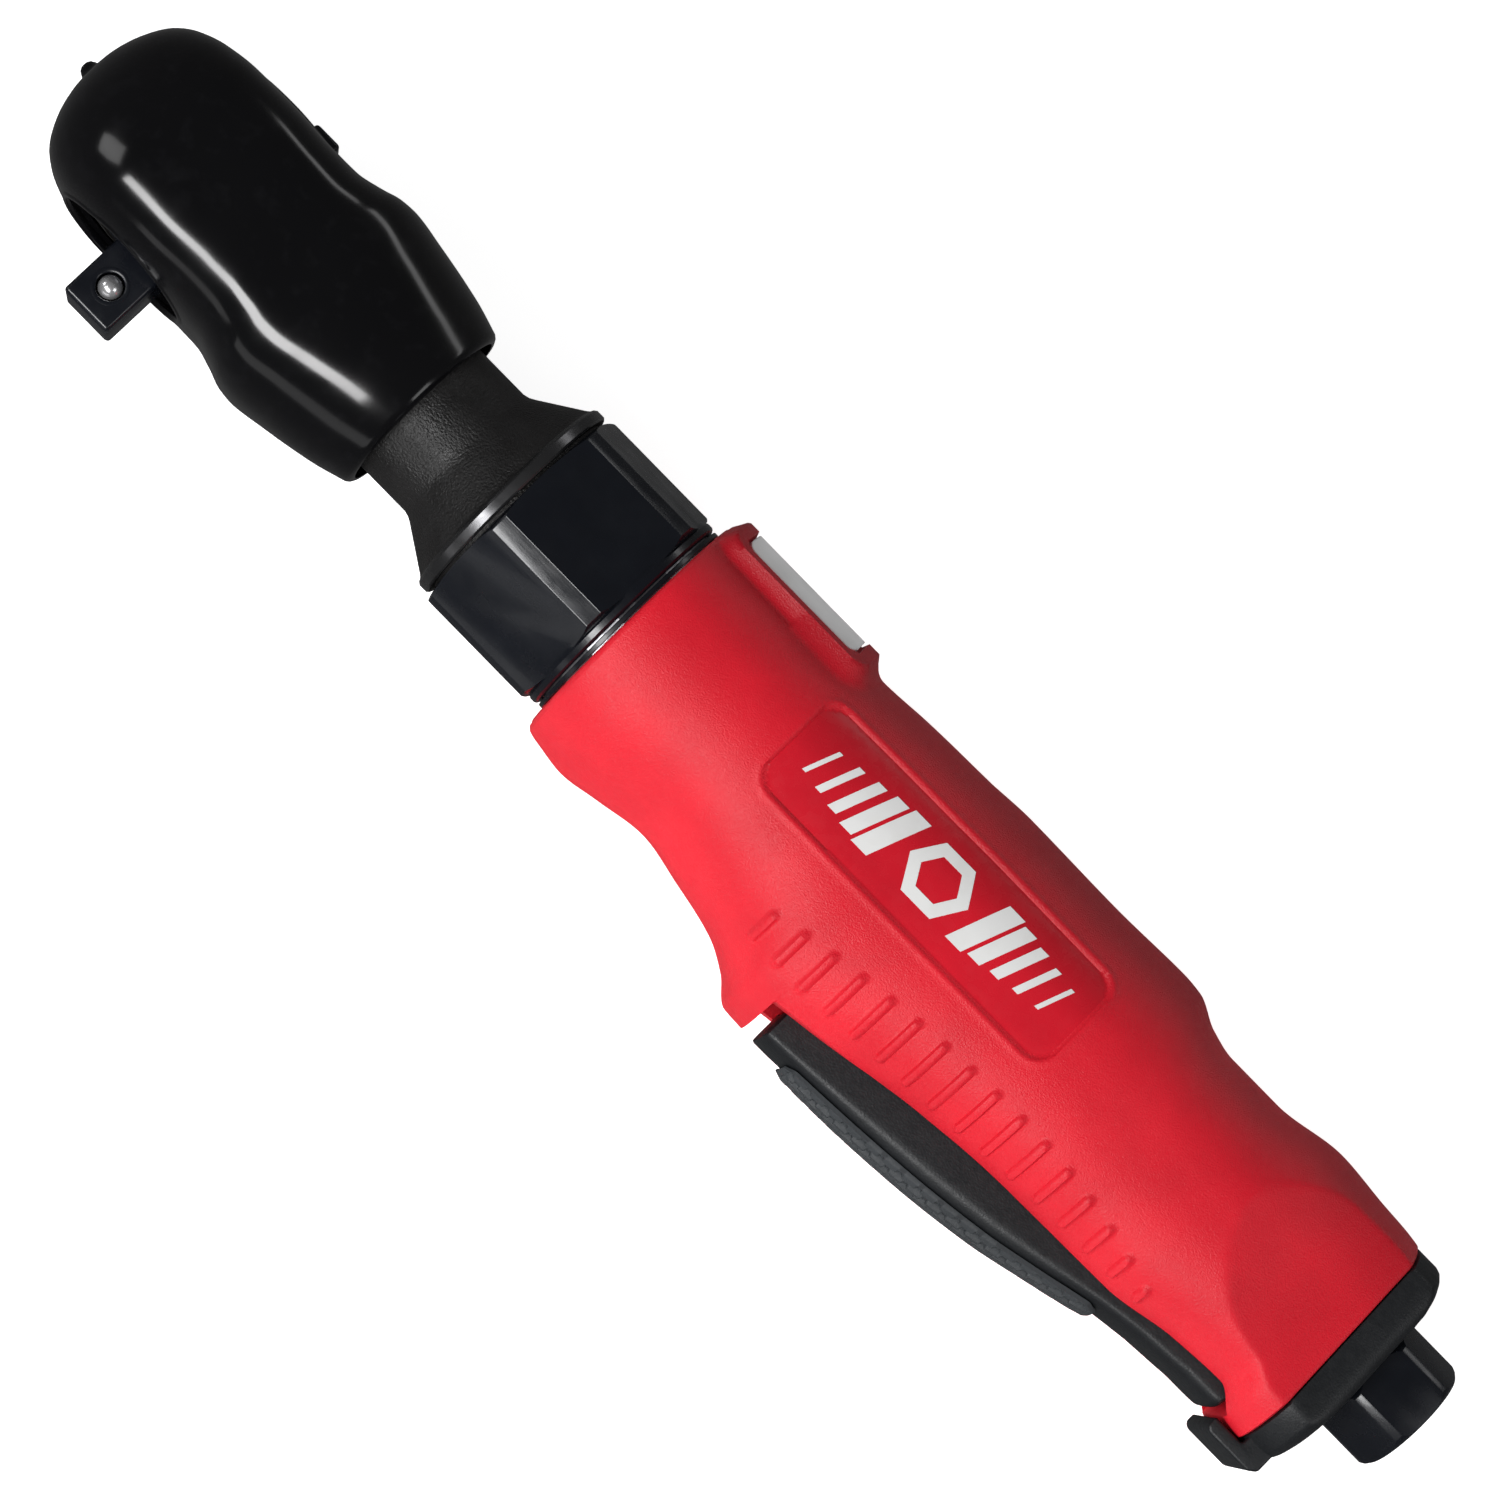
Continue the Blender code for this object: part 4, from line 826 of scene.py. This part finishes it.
def grip_radius(x, angle):
    """Radius of the finished grip at one station, for an array of angles from +Y towards +Z."""
    top, bottom, width, power = (float(through(GRIP, i, x)[0]) for i in (1, 2, 3, 4))
    skirt = bottom
    if x > 151.5:
        share = 1 - float(smoothstep(150.0, 170.0, x))
        bottom += 4.6 * share
        power -= 0.36 * share
    radius = polar(top, bottom, width, 2.0, power, angle)
    degrees = np.degrees(angle) % 360
    if x < 131:
        radius = bezel_radius(x, degrees, radius)
    if PANEL_X[0] - 2 < x < PANEL_X[1] + 2:
        edge = panel_distance(x, degrees)
        radius = radius - PANEL_DEPTH * (1 - smoothstep(-0.45, 0.10, edge))
        radius = radius + 0.18 * (smoothstep(-0.2, 0.3, edge) - smoothstep(0.3, 1.5, edge))
    if RIB_START - 3 < x < RIB_START + RIB_COUNT * RIB_PITCH:
        radius = radius + rib_rise(x, radius * np.cos(angle))
    if x > FLATS[0][0]:
        radius = flat_limit(x, radius, angle)
    if x > 151.5:
        down = np.maximum(-np.cos(angle), 0.01)
        radius = np.minimum(radius, 0.956 * skirt / down)
    return radius


def grip_stations():
    """Stations along the grip, closer together where it carries detail."""
    spans = [(94.0, 94.9, 0.3), (95.0, 126.0, 0.45), (126.45, 139.0, 0.45), (139.2, 151.3, 0.35),
             (151.6, 225.0, 0.36), (225.5, 250.0, 0.65)]
    stations = []
    for low, high, step in spans:
        stations += list(np.arange(low, high, step))
    return sorted(set(round(x, 3) for x in stations + [151.4, 250.4]))


def eased_end(ring, x, setback, shrink):
    """A slightly smaller end face at x and the full ring set back from it, which eases the edge."""
    face = [(x, y * shrink, z * shrink) for _, y, z in ring]
    full = [(x + setback, y, z) for _, y, z in ring]
    return [face, full]


def make_grip():
    """Moulded grip: bezel on top, finger hook and lever skirt below, panels and ribs at the sides."""
    steps = 360
    angle = np.arange(steps) * math.tau / steps
    rings = []
    for x in grip_stations():
        radius = grip_radius(x, angle)
        rings.append([(x, r * math.cos(a), r * math.sin(a)) for r, a in zip(radius, angle)])
    front = eased_end(rings[0], 94.0, 0.35, 1 - 0.45 / 20)
    rear = eased_end(rings[-1], 250.4, -0.3, 1 - 0.35 / 20)
    rings = front + rings[1:-1] + rear[::-1]
    grip = skin("grip", rings, angle=60)
    bore = rod("bore_cutter", 18.8, 90, 158)
    channel = prism("channel_cutter", [
        (151.5, -40), (151.5, -20.0), (158.8, -20.0), (158.8, -17.6), (233, -17.6), (233, -13.2),
        (246.3, -13.2), (246.3, -22.4), (253, -22.4), (253, -40)], -9.6, 9.6)
    valve_bore = rod("valve_cutter", 5.3, -19, 10.5, along="Y", at=(203.0, 0, 0), steps=48)
    air_bore = turned("air_cutter", [
        (203.0, 4.6), (234, 4.6), (234, 9.7), (244, 9.7), (244, 12.6), (252, 12.6)])
    pin_hole = rod("pin_cutter", PIN_HOLE_RADIUS, -25, 12.0, along="Z", at=LEVER_PIVOT, steps=48)
    cut(grip, bore, channel, valve_bore, air_bore, pin_hole)
    grip.data.materials.append(LOOKS["red_composite"])
    grip.data.materials.append(LOOKS["red_panel"])
    colour_panel(grip.data)
    shade(grip, 45)
    dress(grip, "red_composite", "housing", "grip_handle")


def colour_panel(mesh):
    """Faces on the panel's floor take the glossier finish."""
    places = np.array([v.co for v in mesh.vertices]) / MM - np.array(TOOL_AXIS)
    degrees = np.degrees(np.arctan2(places[:, 2], places[:, 1])) % 360
    inside = panel_distance(places[:, 0], degrees) < -0.30
    inside &= np.hypot(places[:, 1], places[:, 2]) > 20.0
    for face in mesh.polygons:
        if all(inside[i] for i in face.vertices):
            face.material_index = 1


def make_name_plate():
    """Plain curved plate with rounded corners."""
    half = PLATE_HALF_ANGLE - 0.8
    length, corner = 23.5, 2.0
    rings = []
    for i in range(49):
        u = -length / 2 + length * i / 48
        inside = length / 2 - abs(u)
        trim = corner - math.sqrt(max(0.0, corner ** 2 - (corner - min(inside, corner)) ** 2))
        span = math.radians(half) - trim / 24.0
        outer = [span * (1 - 2 * j / 36) for j in range(37)]
        ring = [(110.05 + u, 24.2 * math.cos(a), 24.2 * math.sin(a)) for a in outer]
        ring += [(110.05 + u, 23.6 * math.cos(a), 23.6 * math.sin(a)) for a in reversed(outer)]
        rings.append(ring)
    plate = skin("plate", rings)
    soften(plate, 0.12, 2, 40)
    dress(plate, "bright_plate", "housing", "name_plate")


def on_panel(x, s, side, lift):
    """A point this far along the tool and round the panel from its middle, just off its floor."""
    middle = sum(PANEL_ANGLES) / 2
    angle = math.radians(middle) - s / PANEL_SURFACE
    radius = float(grip_radius(x, np.array([angle]))[0]) + lift
    return (x, radius * math.cos(angle), side * radius * math.sin(angle))


def print_patch(name, corners, side):
    """A thin printed shape on the panel, given as quads in panel coordinates."""
    bm = bmesh.new()
    for quad in corners:
        (x0, s0), (x1, s1), (x2, s2), (x3, s3) = quad
        across = 10
        grid = []
        for i in range(across + 1):
            t = i / across
            row = []
            for j in range(across + 1):
                w = j / across
                x = (x0 * (1 - t) + x1 * t) * (1 - w) + (x3 * (1 - t) + x2 * t) * w
                s = (s0 * (1 - t) + s1 * t) * (1 - w) + (s3 * (1 - t) + s2 * t) * w
                row.append(bm.verts.new((Vector(on_panel(x, s, side, 0.05)) + TOOL_AXIS) * MM))
            grid.append(row)
        for i in range(across):
            for j in range(across):
                bm.faces.new((grid[i][j], grid[i + 1][j], grid[i + 1][j + 1], grid[i][j + 1]))
    obj = from_bmesh(name, bm)
    thick = obj.modifiers.new("Ink", "SOLIDIFY")
    thick.thickness = 0.06 * MM
    thick.offset = 0
    settle(obj)
    return dress(shade(obj), "white_print", "housing", None)


def make_graphic():
    """A plain hexagon with slanted bars beside it: a neutral device, not a mark."""
    middle = sum(PANEL_X) / 2
    quads = []
    outer, inner = 6.3, 3.9
    for i in range(6):
        a, b = math.radians(60 * i), math.radians(60 * (i + 1))
        quads.append([(middle + outer * math.cos(a), outer * math.sin(a)),
                      (middle + outer * math.cos(b), outer * math.sin(b)),
                      (middle + inner * math.cos(b), inner * math.sin(b)),
                      (middle + inner * math.cos(a), inner * math.sin(a))])
    for side in (-1, 1):
        for i, (width, height) in enumerate(((3.4, 5.6), (2.6, 5.0), (1.9, 4.4), (1.3, 3.8), (0.8, 3.2))):
            start = 8.6 + i * 4.1
            lean = 0.35 * height
            low = middle + side * start
            high = middle + side * (start + width)
            quads.append([(low - lean, -height), (high - lean, -height), (high + lean, height),
                          (low + lean, height)])
    for side in (-1, 1):
        print_patch(f"graphic_{'left' if side < 0 else 'right'}", quads, side)


def lever_ring(x, top, crease, under, floor):
    """A trough: straight sides to the crease, a rounded underside and a flat inner floor."""
    ring = [(x, top - 0.3, LEVER_HALF)]
    for i in range(37):
        angle = math.pi * i / 36
        across, down = math.cos(angle), abs(math.sin(angle))
        z = math.copysign(abs(across) ** LEVER_ROUND, across) * LEVER_HALF
        ring.append((x, crease + (under - crease) * down ** LEVER_ROUND, z))
    inner = LEVER_HALF - 2.0
    return ring + [(x, top - 0.3, -LEVER_HALF), (x, top, -LEVER_HALF + 0.3), (x, top, -inner),
                   (x, floor, -inner), (x, floor, inner), (x, top, inner), (x, top, LEVER_HALF - 0.3)]


def lever_under(x, z):
    """Height of the lever's underside at this place."""
    crease, under = (float(through(LEVER, i, x)[0]) for i in (2, 3))
    across = min(1.0, abs(z) / LEVER_HALF) ** (1 / LEVER_ROUND)
    return crease + (under - crease) * math.sqrt(1 - across * across) ** LEVER_ROUND


def make_lever():
    """Throttle lever, the pin it swings on and its pad."""
    stations = []
    for low, high, count in ((154.2, 156.6, 6), (156.8, 229.0, 70), (229.2, 244.7, 40)):
        stations += list(np.linspace(low, high, count))
    rings = []
    for x in stations:
        rings.append(lever_ring(x, *(float(through(LEVER, i, x)[0]) for i in (1, 2, 3, 4))))
    for index, shrink in ((0, 0.93), (-1, 0.93)):
        x = rings[index][0][0]
        middle = Vector((x, sum(p[1] for p in rings[index]) / len(rings[index]), 0))
        nose = [tuple(middle + (Vector(p) - middle) * shrink) for p in rings[index]]
        step = 0.35 if index == 0 else -0.35
        rings[index] = [(p[0] + step, p[1], p[2]) for p in rings[index]]
        if index == 0:
            rings.insert(0, nose)
        else:
            rings.append(nose)
    lever = skin("lever", rings, angle=40)
    cut(lever, rod("lever_pin_cutter", PIN_HOLE_RADIUS, -20, 20, along="Z", at=LEVER_PIVOT, steps=48))
    shade(lever, 35)
    dress(lever, "grey_composite", "lever", "throttle_lever")
    pin = turned("pivot_pin", [(-12.4, 1.0), (-12.15, 1.25), (11.35, 1.25), (11.6, 1.0)],
                 along="Z", at=LEVER_PIVOT, steps=48)
    dress(pin, "steel", "housing", "lever_pin")
    make_pad()


PAD_ROW = 2.3
PAD_PITCH = 3.8
PAD_BLOCK = 0.85


def pad_blocks(x, z):
    """Height of the staggered blocks on the pad, from nought in a groove to one on a block."""
    row = math.floor((z + 40 * PAD_ROW + PAD_ROW / 2) / PAD_ROW)
    shift = PAD_PITCH / 2 if row % 2 else 0.0
    along = abs((x + shift) % PAD_PITCH - PAD_PITCH / 2)
    across = abs((z + 40 * PAD_ROW + PAD_ROW / 2) % PAD_ROW - PAD_ROW / 2)
    edge = min(PAD_PITCH / 2 - abs(along), PAD_ROW / 2 - across)
    return float(smoothstep(0.22, 0.62, edge))


def pad_ring(x, under, half, count=72):
    """A crescent that follows the lever's underside, with a plain border round the blocks."""
    thick = lever_under(x, 0) - GAP - under
    outside, inside = [], []
    for i in range(count + 1):
        z = half * (1 - 2 * i / count)
        base = lever_under(x, z) - GAP
        drop = thick * (1 - 0.4 * (z / half) ** 6)
        border = smoothstep(0.15, 0.4, half - abs(z)) * smoothstep(0.8, 1.4, min(x - 160, 221 - x))
        groove = PAD_BLOCK * (1 - pad_blocks(x, z)) * float(border)
        outside.append((x, base - max(0.22, drop - groove), z))
        inside.append((x, base, z))
    return outside + inside[::-1]


def make_pad():
    """Rubber pad on the lever's underside."""
    rings = []
    for x in np.linspace(160.0, 221.0, 280):
        under, half = (float(through(PAD, i, x)[0]) for i in (1, 2))
        rings.append(pad_ring(x, under, half))
    pad = skin("pad", rings, angle=50)
    dress(pad, "pad_rubber", "lever", "lever_pad")


def cap_ring(x, inset, steps=240):
    """Outline of the end cap at one station, drawn in by the inset."""
    angle = np.arange(steps) * math.tau / steps
    radius = polar(19.6 - inset, 22.6 - inset, 19.3 - inset, 2.0, 2.6, angle)
    radius = np.minimum(radius, flat_limit(x, radius, angle) - 0.7 * inset)
    return [(x, r * math.cos(a), r * math.sin(a)) for r, a in zip(radius, angle)]


def make_end_cap():
    """End cap with the hook that closes the lever channel and three exhaust holes."""
    sections = [(250.7, 0.25), (250.95, 0.0), (254.7, 0.0), (255.5, 0.15), (256.2, 0.55),
                (256.8, 1.15), (257.2, 1.9), (257.4, 2.8)]
    cap = skin("cap", [cap_ring(x, d) for x, d in sections], angle=50)
    hook = prism("hook", [
        (245.4, -22.8), (245.4, -24.6), (246.2, -25.3), (254.6, -25.3), (256.0, -24.2),
        (256.0, -15), (251.2, -15), (251.2, -22.8)], -9.0, 9.0)
    soften(hook, 1.5, 6)
    join(cap, hook)
    cut(cap, rod("cap_cutter", 9.7, 248, 260))
    for i, degrees in enumerate((-32, 0, 32)):
        angle = math.radians(degrees)
        at = (0, 14.3 * math.cos(angle), 14.3 * math.sin(angle))
        profile = [(248, 1.9), (256.9, 1.9), (257.6, 2.5), (260, 2.5)]
        hole = turned(f"cap_exhaust_{i}", profile, at=at, steps=48)
        cut(cap, hole)
    shade(cap, 35)
    dress(cap, "grey_composite", "housing", "end_cap")


finish_cad_nodes()
make_camera()
make_stage()
make_lights()
make_boot()
make_housing()
make_anvil()
make_knob()
make_clamp_nut()
make_inlet()
make_grip()
make_name_plate()
make_graphic()
make_lever()
make_end_cap()
